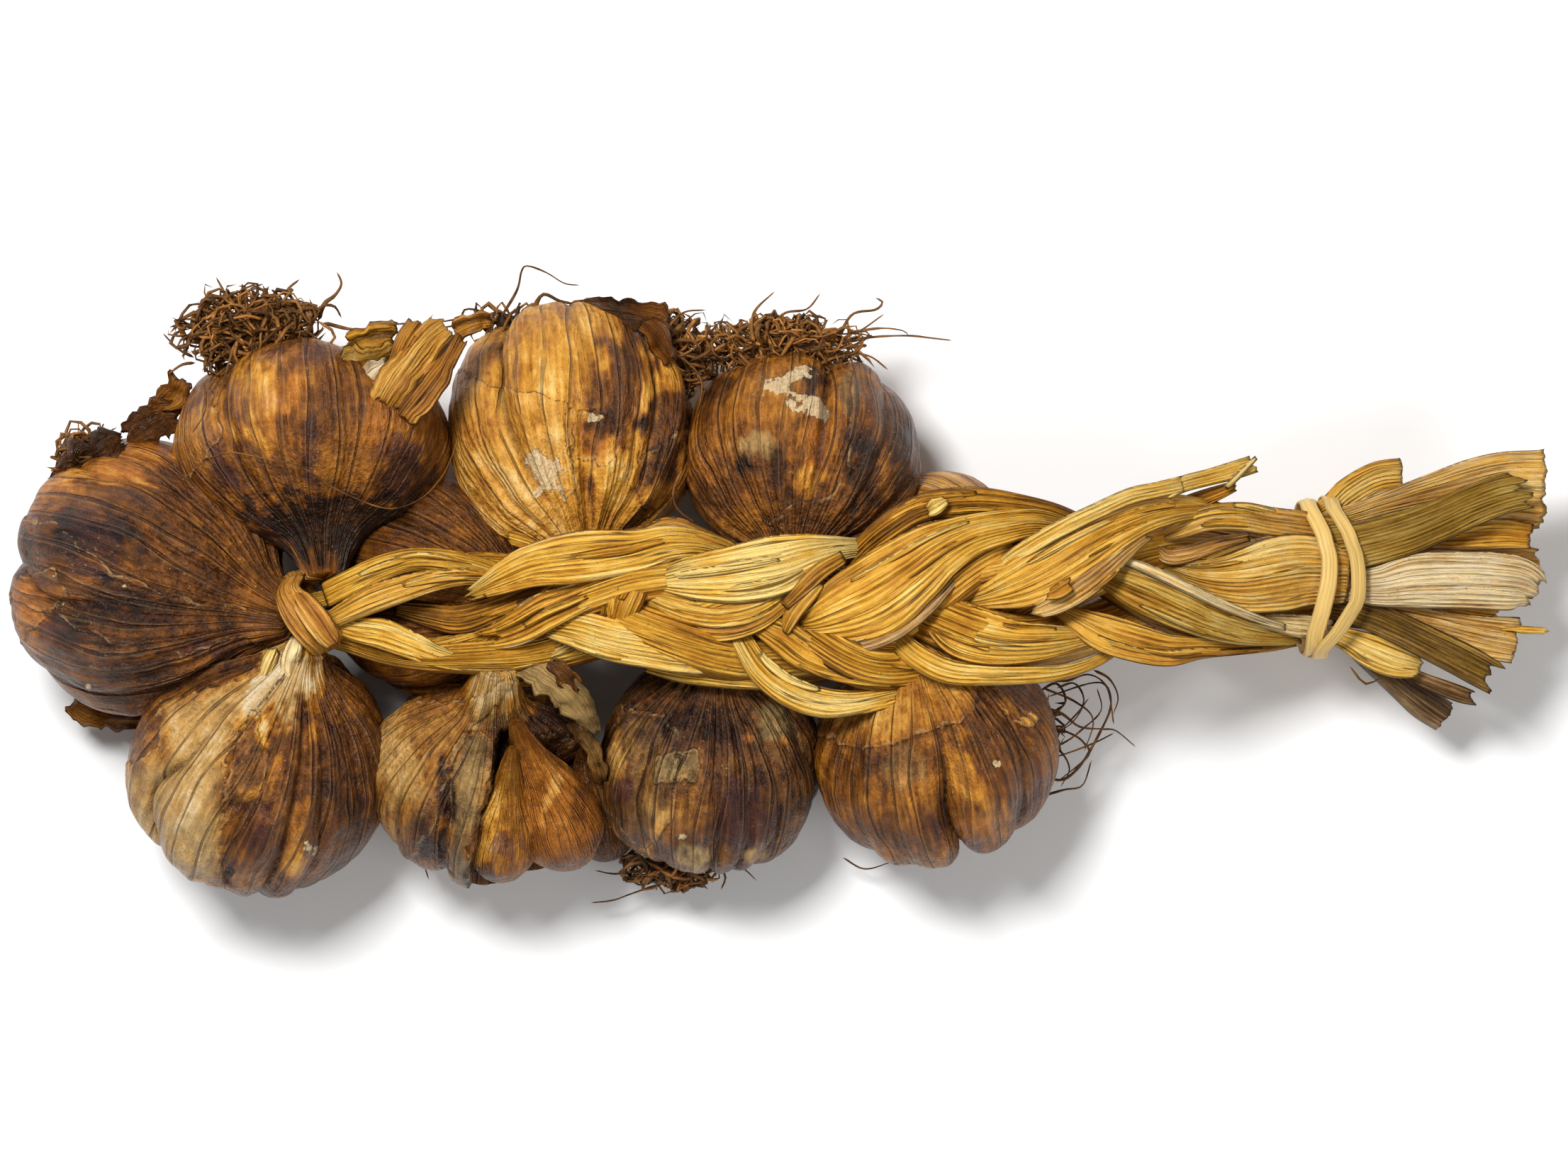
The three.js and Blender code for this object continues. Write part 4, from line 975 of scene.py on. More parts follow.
# Leaves that lie over each strand.
LEAVES = {
    "strand_1": [
        leaf((-84, -4.5, 45, 1.5), (-77, -5.8, 46, 2.6), (-70, -6.6, 47, 3.2), (-62, -4.4, 49, 2.8),
            (-54, -1.5, 50, 2.4), (-46, 0.6, 50, 2.2), (-38, 3, 49, 2), tone=0.16, ribs=0.3),
        leaf((-70, -2.6, 52, 0.8), (-65, -0.2, 54, 2), (-60, 2.3, 56, 3.6), (-54, 4.8, 57.5, 4.6),
            (-47, 6, 58, 5.4), (-40, 6.8, 57.5, 5.3), (-32, 7.8, 56, 4.6), (-24, 9.6, 53.5, 4),
            (-16, 9, 50, 2.8), (-8, 6, 46, 2.2), (0, 2, 43, 2), tone=0.6, ember=0.16, edge=0.5, ends=(4, 1),
            roll=(0, 6)),
        leaf((-40, 10, 53, 1.5), (-30, 11, 53, 2.4), (-24, 12, 52, 3), (-18, 10.8, 50.5, 2.2),
            (-12, 9, 48, 1.4), (-6, 7, 45, 1), tone=0.4, ember=0.5),
        leaf((-68, -10.5, 48, 1.4), (-63, -10.5, 50, 2.8), (-57, -8.6, 52, 4), (-51, -5.2, 53.5, 4.2),
            (-45, -2.6, 54.5, 3.6), (-39, 0, 54.5, 3), (-33, 2.6, 54, 2.2), (-27, 4.4, 52, 1.4), tone=0.46,
            ember=0.16, edge=0.7, ends=(7, 1), curl=4, roll=(-18, 0)),
        leaf((-10, -4, 46, 2), (-5, -7.5, 51.6, 2.8), (0, -10, 53, 4), (5, -13.5, 53, 4.2),
            (11, -16.3, 52.5, 3.4), (18, -18.2, 50.5, 2.5), (26, -19.4, 47, 1.6), (34, -18.6, 44, 1.2),
            (42, -16, 41, 1.2), tone=0.42, ember=0.2),
        leaf((-12.6, -5, 46, 2), (-8.8, -11.5, 51.8, 2.7), (-4.8, -17.5, 52.6, 3.3), (1, -22, 51.5, 3.5),
            (8, -24.2, 50.5, 3.5), (15, -24.5, 49, 3), (23, -23, 47, 2.4), (32, -20.8, 44, 2),
            (42, -18.8, 41, 1.7), (50, -15, 39, 1.6), tone=0.66, ember=0.15, edge=0.3, roll=(14, 14)),
        leaf((38, -3, 45, 1), (43, -1.6, 50, 3), (49, 1, 53.5, 5.6), (56, 4.6, 55, 6.6),
            (63, 8.6, 54.5, 6.2), (70, 12.4, 52.5, 5.2), (78, 15.6, 49.5, 4.2), (86, 17.2, 45, 3),
            (94, 17, 39, 1.8), (101, 14, 34, 1.4), tone=0.54, ember=0.22, ribs=0.24, roll=(-4, 8)),
        leaf((46, 5, 51.5, 1.2), (52, 8.6, 54.5, 1.9), (59, 12.6, 55.5, 1.9), (66, 16, 55, 1.9),
            (74, 19.6, 53, 2), (80, 21, 50.5, 1.9), (86, 22.4, 48, 1.9), tone=0.7, edge=0.3),
        leaf((52, -5.6, 52, 1.2), (58, -3, 53, 2.7), (64, 0.8, 53.6, 3.3), (69, 4.6, 52.6, 3),
            (74, 8.6, 51, 2.2), (79, 12, 48.5, 1.4), tone=0.46, grey=0.42, ribs=0.24, ends=(3, 2)),
        leaf((56, -1.6, 54.6, 1), (59, -0.6, 55.8, 1.8), (62, 1.4, 55.6, 1.3), tone=0.5, ember=0.3,
            buckle=0.9, ends=(1.5, 1.5))],
    "strand_2": [
        leaf((-99, -8, 49.5, 1.8), (-94, -5.3, 52, 2.6), (-88, -2.5, 53.6, 3.2), (-81, -0.2, 54.6, 3),
            (-74, 1.6, 53.6, 2.4), (-67, 2.3, 51, 1.9), (-60, 1.5, 47, 1.8), (-53, -2, 43, 1.8), tone=0.56,
            ember=0.36, roll=(20, -20)),
        leaf((-99, -1.5, 49, 3.2), (-93, 1.5, 51, 3.3), (-86, 4.5, 52.4, 2.9), (-79, 6.2, 52.6, 2.5),
            (-71, 5.5, 51.6, 2.4), (-63, 3.5, 48.6, 2.2), (-56, 0, 44, 2.2), tone=0.52, olive=0.25,
            ribs=0.26, roll=(30, -10)),
        leaf((-56, -6, 46, 2), (-50, -8, 50, 3), (-44, -9, 53, 4.2), (-37, -11, 54.6, 4.7),
            (-30, -12.2, 55, 5), (-22, -13.6, 54, 4.9), (-14, -15, 50, 3.7), (-6, -15.8, 46, 2.6),
            (2, -16, 43, 2), (10, -16, 41, 2), tone=0.68, ember=0.2, edge=0.6, ends=(1, 1), roll=(4, 8)),
        leaf((-30, -17, 49, 1), (-22, -18.6, 49, 1.7), (-14, -19.6, 48, 1.8), (-6, -20.4, 46.5, 1.6),
            (2, -21, 44, 1.3), tone=0.62, edge=0.3),
        leaf((-36.6, -8, 51, 3.6), (-35.2, -3.5, 54.8, 4.4), (-33.6, 0, 55.2, 4.4), (-31, 4, 53.4, 3),
            tone=0.4, bend=30, ribs=0.3, ember=0.2, grey=0.2, ends=(1, 1)),
        leaf((3, -8, 50, 1.4), (7, -7, 54, 5), (13, -4.6, 56.6, 7.6), (20, -1.2, 58, 8.5),
            (27, 3.5, 58, 7.6), (33, 8, 57.4, 6.2), (40, 11.6, 56, 4.8), (48, 13.4, 54, 3.9),
            (55, 14, 51, 3.1), (62, 12.5, 46, 2.1), (69, 9, 41, 1.8), tone=0.52, ember=0.1, ribs=0.3,
            edge=0.25, roll=(0, 8), ends=(1, 0)),
        leaf((10, -12.6, 53, 1), (17, -11.8, 54.4, 1.9), (24, -8.8, 55, 2.3), (30, -4, 55, 2.3),
            (35, 1, 54, 1.7), (39, 5, 52.6, 1), tone=0.44, grey=0.5, ribs=0.26),
        leaf((13, 4, 47, 2), (17, 8.4, 50, 2.7), (22, 12.6, 52, 3.1), (28, 16.4, 52.2, 3.1),
            (34, 18, 52, 3.1), (42, 18.4, 51, 3), (50, 17.8, 49.6, 2.7), (57, 16.6, 47, 2.3),
            (63, 14.5, 44, 1.8), (70, 11, 41, 1.5), tone=0.32, ribs=0.3, ends=(2, 1)),
        leaf((30.4, 16, 53.8, 1), (32.4, 17.4, 55, 1.9), (34.8, 18.8, 54.2, 1), tone=0.66, grey=0.2,
            buckle=1.1, ribs=0.4),
        leaf((58, -4, 42, 1.4), (63, -6.6, 46, 2.9), (69, -9.6, 47.6, 4.7), (76, -11.8, 47.2, 4.6),
            (83, -13.2, 45.2, 3.8), (90, -12.9, 41.6, 2.6), (98, -13, 37, 1.8), (106, -12.6, 32.4, 1.4),
            (112, -11.6, 29.6, 1.2), tone=0.46, ember=0.32, roll=(4, 12)),
        leaf((66, 4, 43, 2), (73, 1, 47.6, 3.7), (79, -1.5, 49.2, 4.3), (86, -4.6, 47.8, 4.3),
            (93, -7.4, 44, 3.9), (100, -9.4, 39.4, 3.3), (107, -10.4, 34.6, 2.5), (113, -10.6, 31, 1.8),
            tone=0.54, olive=0.5, ribs=0.22),
        leaf((72, 6.5, 48.2, 0.9), (79, 3.6, 50.2, 1.3), (87, -0.2, 49.2, 1.3), (95, -3.8, 45.8, 1.2),
            (103, -6.8, 41.2, 1), (109, -8.6, 37.4, 0.8), tone=0.8, grey=0.5, edge=0.4, thick=0.5)],
    "strand_3": [
        leaf((-97, -8, 48.6, 2.2), (-92, -9, 50, 2.8), (-86, -10, 51, 3.3), (-80, -12.3, 51, 2.9),
            (-73, -15, 50, 2.1), (-65, -16.3, 48.2, 1.8), (-57, -15.8, 47.2, 1.8), (-50, -13.6, 46, 1.8),
            (-43, -10.5, 45, 1.7), (-36, -6, 44, 1.6), tone=0.64, edge=0.3, roll=(-10, 20)),
        leaf((-28, 1.5, 52.4, 1.8), (-22, 2.2, 55.6, 4.2), (-15, 2.9, 57.4, 5.6), (-8, 3.8, 58, 6.3),
            (-1, 5, 57.6, 6.1), (6, 7.2, 55.2, 4.4), (13, 8.6, 51.4, 2.6), (20, 8.5, 46.5, 2),
            (27, 6, 42, 2), tone=0.8, ember=0.05, edge=0.2, roll=(0, 6), ends=(1.5, 1)),
        leaf((-30.5, -2, 51, 2), (-26, -4, 53, 3.8), (-20, -6, 54.2, 4.6), (-13, -6.8, 54.6, 4.7),
            (-6, -5.4, 54.4, 4.1), (0, -2, 53.6, 2.9), (5, 2, 52, 2), (10, 5.4, 49, 1.4), tone=0.44,
            olive=0.3, grey=0.25, ends=(2, 1)),
        leaf((0, -4, 55, 1), (4, 0, 56.2, 1.8), (8, 3.6, 55.6, 2), (13, 6.6, 53, 1.5), tone=0.36, grey=0.3),
        leaf((0, -9.6, 53.4, 1.2), (2.4, -5, 55, 2), (5.4, -1.6, 55.4, 1.8), (8, 1, 54.4, 1), tone=0.5,
            grey=0.3, buckle=0.7),
        leaf((28, 0, 45, 2), (32, -5, 49.6, 3.6), (37, -8.6, 52.4, 5.3), (43, -10.6, 53.2, 5.5),
            (50, -11.6, 52.6, 4.7), (57, -11.4, 50, 3.8), (64, -10.6, 45, 2.4), (71, -9, 41, 1.6),
            tone=0.56, ember=0.06, ribs=0.24, edge=0.2),
        leaf((20, -6, 44, 1.8), (24.5, -11, 49, 2.4), (29, -15, 51, 2.8), (35, -17.8, 51.4, 2.9),
            (43, -18.7, 51, 2.5), (52, -18.8, 49.4, 2.1), (60, -18.2, 47, 1.7), (67, -16, 44, 1.4),
            (73, -12.5, 41, 1.2), tone=0.66, edge=0.3, roll=(10, 12)),
        leaf((38, 2.5, 49.6, 2), (41, 3.4, 51.6, 2.8), (46, 4.4, 52.4, 2.1), (52, 6.4, 52.6, 1.6),
            (58, 8, 51, 1), tone=0.46, ember=0.3, buckle=0.6),
        leaf((40, 7, 48.6, 1.6), (46, 8.5, 49.8, 1.8), (52, 9.5, 49.8, 1.6), (57, 10.4, 48, 1.2), tone=0.2,
            ember=0.2),
        leaf((17, -12.6, 49, 1), (21, -14.6, 50.4, 2), (26, -16, 50, 1.4), (29, -16.4, 48.6, 0.8),
            tone=0.42, buckle=0.9, ends=(1.5, 1.5)),
        leaf((82, 5, 37, 1.2), (88, 2.6, 41.5, 3.6), (94, 1.6, 44, 5.8), (100, 1.6, 44.6, 7.5),
            (107, 2.6, 43, 7.9), (114, 3.4, 39.4, 7.6), (123, 2.6, 36.6, 6.6), tone=0.6, grey=0.32, bend=14),
        leaf((80, 10.5, 39, 1.2), (86, 13.2, 42.4, 2.5), (92, 15.2, 43.6, 3), (99, 15.4, 42.8, 3.3),
            (106, 14.2, 39.4, 3.1), (113, 13.4, 36, 3.1), (121, 12.2, 33.6, 3), tone=0.5, grey=0.36),
        leaf((80, 9.5, 40.4, 1), (83, 6.8, 41.6, 2), (88, 7.4, 42, 1.9), (94, 9.4, 41.6, 1.6),
            (101, 11, 40, 1), tone=0.34, grey=0.4, buckle=0.6),
        leaf((101, -7.2, 38.4, 0.8), (107, -7.6, 36.8, 2.1), (113, -8.4, 34.2, 2.5), (120, -9, 31.6, 2),
            tone=0.8, grey=0.45, edge=0.5, ribs=0.26, ends=(5, 1))],
}

# The wrap that holds the first necks, and the raffia: closed loops of (x, y, z, half width).
WRAP = [(-105.4, 2.2, 50, 2.6), (-106.6, -0.8, 55, 3.2), (-104, -5, 57.2, 4.2), (-100.8, -9, 56.6, 4.5),
    (-98.4, -12, 52, 4.2), (-98.8, -13, 44, 3.6), (-101.6, -8, 39.2, 3.4), (-105, -1, 39.8, 3.2),
    (-106.6, 2.4, 44.6, 2.8), (-105.4, 2.4, 49.6, 2.6),
]
WRAP_OVER = [(-104.6, -0.8, 55.6, 1.4), (-102.4, -3.4, 58.4, 2.6), (-99.6, -7.2, 58.6, 3),
    (-97.4, -10.6, 57, 2.6), (-95.6, -12.6, 54.4, 1.6),
]

WRAP_MIDDLE = (-101.7, -6.6, 47.2)
RAFFIA_MIDDLE = (117, 2.2, 27.2)
RAFFIA_HALF_WIDTH = 1.9
# Each loop of raffia across the top of the plait, as (y, x).
LOOPS = [
    [(17.6, 114.5), (12, 117), (5, 118.5), (-3, 117), (-10, 115.2), (-13.4, 115.4)],
    [(17.6, 119.5), (12, 122.4), (5, 124.6), (-3, 124.2), (-10, 120), (-13.4, 117)],
]

# The fan of leaf ends past the raffia, and the twigs in it as (points, thickness, tone).
FAN = {
    "leaf_top": leaf((116, 13, 32.4, 3), (124, 14.6, 33.6, 3.6), (132, 17, 34.6, 4.2), (145, 20, 36, 5.7),
        (157, 22.5, 36.8, 7.4), (166, 22.4, 37, 8.4), tone=0.56, ember=0.3, grey=0.36, thick=1.6,
        ends=(0, 1.4), bend=16, edge=0.5),
    "leaf_olive": leaf((117, 8.6, 36.4, 4.6), (124, 9, 38, 5.4), (134, 11.6, 39.6, 5.4),
        (141, 14.3, 40.6, 5), (149, 18, 41.6, 4.8), (156, 20.5, 42.4, 4.7), (162.5, 21.6, 43, 4.3),
        tone=0.44, olive=0.85, thick=0.8, ends=(0, 5), bend=20, ribs=0.16, grey=0.06),
    "leaf_brown": leaf((120, 6, 32.6, 1.6), (136, 10, 33.4, 2), (146, 11, 34, 2.7), (155, 11.8, 34, 3.3),
        (163.6, 11.2, 33, 3), tone=0.42, ember=0.2, ends=(0, 1.2), ribs=0.3),
    "leaf_pale": leaf((116, -0.6, 34.6, 2.4), (124, 0.2, 36.6, 3.6), (130, 0.4, 38.4, 4.6),
        (137, 1.6, 39.4, 6.2), (146, 1.9, 39.6, 6.7), (155, 1.6, 39, 6.5), (161, 0.8, 38, 5.6),
        (165, -1.4, 36.6, 3.4), tone=0.76, grey=0.55, ribs=0.36, bend=15, thick=1.1, ends=(0, 3), edge=0.4,
        curl=-3),
    "leaf_tan": leaf((118, -3.6, 31, 1.8), (127, -5, 32.4, 2), (133, -6, 33, 2.6), (143, -8.4, 33.4, 3.8),
        (152, -10.4, 32.8, 4.7), (160.8, -12, 31, 5.2), tone=0.52, grey=0.42, ends=(0, 1.4), bend=13),
    "leaf_dark": leaf((118, -4, 33, 2.6), (127, -6, 35, 3.2), (134, -9, 36, 3.4), (142, -13, 36, 3.7),
        (150, -17, 35.4, 3.9), (157, -20.6, 34, 3.5), tone=0.2, olive=0.62, grey=0.3, ends=(0, 5)),
    "leaf_curl": leaf((116, -9.4, 31, 1.6), (122, -11, 32.6, 2.4), (128, -13.8, 33.2, 3.7),
        (134, -16.2, 32.6, 3.7), (139.8, -17.4, 31, 2.2), tone=0.74, ends=(0, 2), ribs=0.28, curl=3,
        edge=0.3),
    "leaf_slate": leaf((120, -8, 28, 1.2), (132, -16, 28, 1.4), (139, -19.6, 27.8, 1.6),
        (148, -23, 26.4, 1.9), (153, -24.6, 25, 1.3), tone=0.2, grey=0.5, olive=0.2, ends=(0, 3)),
    "stalk_end": leaf((119, -6.6, 23.6, 2), (127, -14, 22, 2.4), (136, -21.5, 20.6, 3),
        (141, -25, 19.6, 3.7), (147, -29, 17.6, 3.5), tone=0.12, grey=0.55, olive=0.3, thick=4.6, bend=30,
        ends=(0, 1.8)),
    "leaf_stub": leaf((116, 15, 30, 2.4), (120, 17.6, 30, 2.9), (124, 21, 29, 3.5), (130, 24.2, 27.4, 3.7),
        (136, 25, 26, 3.6), tone=0.6, ember=0.3, ends=(0, 0.6), thick=1),
    "leaf_end": leaf((118, 7, 27.4, 3), (130, 10, 29, 3.8), (145, 14, 29.4, 4.6), (158, 17, 28.8, 5.2),
        (167, 18, 28, 5), tone=0.46, ember=0.1, ends=(0, 1.8), ribs=0.36, thick=1.2),
    "leaf_wide": leaf((118, 0.6, 28.4, 4.6), (130, 1.4, 28.8, 5.4), (145, 3, 28, 6), (158, 3.8, 25.4, 5.6),
        (166.6, 3, 22.6, 5), tone=0.5, ember=0.3, ends=(0, 1.8), ribs=0.36, thick=1.4),
    "leaf_low": leaf((118, 4.4, 22, 4), (134, 6.6, 20, 4.6), (148, 8.6, 16, 4.9), (161, 10.4, 12.2, 4.4),
        tone=0.4, ends=(0, 1.8), ribs=0.34, thick=1.4, bend=-14),
    "leaf_under": leaf((118, -3.4, 22, 3.8), (132, -5.6, 20, 4.4), (146, -7.4, 16.6, 4.6),
        (159, -8.8, 13, 4), tone=0.42, ember=0.15, ends=(0, 1.8), ribs=0.34, thick=1.3, bend=-14),
}
TWIGS = [
    ([(167.4, -9.4, 31), (163, -9.3, 31.8), (156, -8.8, 32)], 2.4, 0.55),
    ([(124, -17, 27), (127.5, -21, 26.6), (131, -19.6, 26.4)], 0.8, 0.1),
]

# Loose ends, torn papers and stubs.
STUBS = {
    "stalk_tip": [
        leaf((82, 20.4, 50.4, 1.9), (86, 22.4, 48.6, 2), (92, 24, 46, 2), (97, 25.4, 44.4, 2.2),
            (102, 27, 43.4, 2.1), tone=0.66, edge=0.3, ends=(0, 1.4), thick=0.9),
        leaf((95.4, 21.6, 44.4, 0.5), (98.4, 24.6, 45.6, 0.7), (102, 28.2, 45, 0.5), tone=0.9, pale=0.5,
            thick=0.6),
        leaf((83, 16, 40, 2.4), (89, 18.6, 41.6, 2.2), (95, 21, 42, 1.6), (99, 22.6, 41.4, 1), tone=0.3,
            ends=(0, 2))],
    "cut_stalk": [
        leaf((-86.6, 37.6, 58.6, 3.2), (-83.6, 42.6, 60, 4), (-79.8, 48.2, 60, 4.2), (-75.4, 53.6, 58, 3.8),
            (-71.4, 57, 55, 3.4), tone=0.56, ember=0.5, thick=1.6, bend=5, ribs=0.4, buckle=1.1,
            ends=(3, 3), roll=(-8, 12), torn=0.3),
        # This strip's darker tone is partly burnt leaf and partly painted shade along the stalk's right side.
        leaf((-82.4, 36, 57, 3), (-78.8, 40.6, 58.6, 4.2), (-75, 45.6, 57.8, 4), (-72, 50.4, 56, 3),
            (-69.4, 54.8, 53.6, 2), tone=0.36, ember=0.6, thick=1.4, bend=6, ribs=0.34, buckle=1,
            ends=(2, 2), roll=(6, 16), torn=0.3),
        leaf((-83.4, 47, 58, 1.6), (-80.6, 52.6, 58.2, 2.8), (-77.4, 57.4, 56, 2.8), tone=0.26, ember=0.4,
            thick=1.2, bend=6, ends=(1, 2), buckle=0.6),
        paper((-99, 44.6, 51, 3), (-93.6, 47, 55, 4.6), (-87.6, 48, 54.6, 5), (-82, 50, 51.4, 3.6),
            tone=0.3, olive=0.6, buckle=1.9, ribs=0.08, ends=(3, 3), bend=7),
        paper((-95, 51.6, 50, 3), (-88.6, 53.6, 50.6, 3.6), (-82, 54, 49, 2.6), tone=0.24, olive=0.4,
            buckle=1.4, ribs=0.1, ends=(3, 3)),
        paper((-90.4, 44.4, 55.6, 1.6), (-87.4, 46.4, 56.6, 2.2), (-84.6, 48.4, 56, 1.4), tone=0.6,
            grey=0.8, buckle=1.2, ribs=0.1, ends=(1.5, 1.5)),
        paper((-71, 55, 52.6, 2.6), (-66, 57, 51, 2.4), (-62, 57.4, 49, 1.4), tone=0.3, ember=0.3,
            buckle=1.2, ribs=0.08, ends=(1, 2))],
    "neck_stub": [
        paper((-104.4, -9.6, 51, 1.6), (-106, -14, 52.6, 2.4), (-106.6, -17.6, 51.6, 2.2),
            (-105.6, -20.6, 49.4, 1.4), tone=0.76, grey=0.5, pale=0.45, edge=0.5, ribs=0.1, ends=(1.4, 1.4),
            buckle=1.3, torn=0.8),
        leaf((-103.8, -11, 50, 1), (-103.4, -15, 50.4, 1.6), (-103.6, -20, 48.6, 1), tone=0.6, grey=0.3,
            ends=(1, 2), buckle=0.8),
        leaf((-109, -12.4, 50.4, 1), (-110.6, -15.6, 50.8, 1.8), (-112.6, -20, 48.6, 1.2), tone=0.74,
            grey=0.3, pale=0.2, ends=(1, 2), buckle=0.7)],
    "side_stub": [
        leaf((-52, 9.4, 41.6, 2.4), (-56, 10.8, 42, 2.7), (-60.2, 11.9, 41, 2.4), tone=0.52, ends=(0, 1.6),
            thick=2, ribs=0.3)],
    "skin_curl": [
        paper((-58, -16.6, 46.6, 2.4), (-53, -18.4, 49, 3.8), (-48, -22, 49, 4.2), (-43.6, -27, 46, 3.2),
            (-40.6, -32, 42, 1.6), tone=0.5, grey=0.8, buckle=1.8, ribs=0.08, ends=(2, 2), edge=0.5, curl=3),
        paper((-51, -15.6, 49, 1.6), (-46.8, -18.4, 51, 2.6), (-44.6, -22.6, 50, 2.2), tone=0.3, ember=0.3,
            buckle=1.6, edge=0.4, ends=(1, 2))],
    "skin_strip": [
        paper((-46.6, -28.6, 43, 1.4), (-42.6, -33, 41, 2), (-40.4, -38, 37, 1.9), (-39.2, -43.4, 33, 1),
            tone=0.36, grey=0.4, buckle=1.2, edge=0.5, ends=(1, 2))],
    "skin_crown": [
        paper((-48, 59, 33, 1.6), (-43, 60.6, 35, 2.4), (-36, 60, 37, 3.2), (-29, 58.4, 37.6, 3.6),
            (-24, 56, 36, 2.6), tone=0.2, ember=0.7, buckle=1.6, bend=30, ribs=0.08, ends=(2.6, 2.6),
            edge=0.4),
        paper((-31, 58, 37, 1.6), (-27, 54, 38, 2.4), (-24, 48.6, 37, 1.6), tone=0.22, ember=0.6, bend=30,
            buckle=1.6, ends=(1, 2))],
    "skin_heel": [
        paper((-159, -25.4, 15, 2.2), (-153.6, -27.6, 14.8, 3), (-147, -29, 13, 2.4),
            (-139, -29.4, 12, 1.4), tone=0.4, olive=0.3, buckle=1.3, ends=(1.6, 1.6))],
    "skin_cheek": [
        paper((-143.4, 31.6, 33.4, 2.6), (-139.4, 34.4, 35.6, 4), (-135, 36.6, 36, 4.2),
            (-130.6, 37, 35.2, 3), tone=0.16, ember=0.5, buckle=1.4, ribs=0.08, ends=(2.4, 2.4), torn=1.2,
            bend=26),
        paper((-136.4, 38.6, 35, 2), (-133, 42, 36.4, 3), (-130.4, 46.4, 36.6, 2.6), tone=0.34, ember=0.3,
            buckle=1.2, ends=(2, 2), torn=1.2, bend=26),
        paper((-158, 20.6, 36.4, 2.6), (-153.4, 25.4, 39, 4.2), (-148, 29.6, 40, 4.6),
            (-142.6, 32.6, 38.6, 3), tone=0.1, ember=0.6, buckle=1.6, ribs=0.08, ends=(2.4, 2.4), torn=1.3,
            bend=26),
        paper((-157.4, 24.4, 34, 1.6), (-154, 29.4, 35.6, 2.6), (-150, 33, 35, 2), tone=0.24, ember=0.7,
            buckle=1.6, ends=(2, 2), torn=1.3, bend=26)],
}


def stray(height, thick, *points):
    """A long root that lies in view: its height over the table, or one for each point, and its route."""
    return points, height, thick


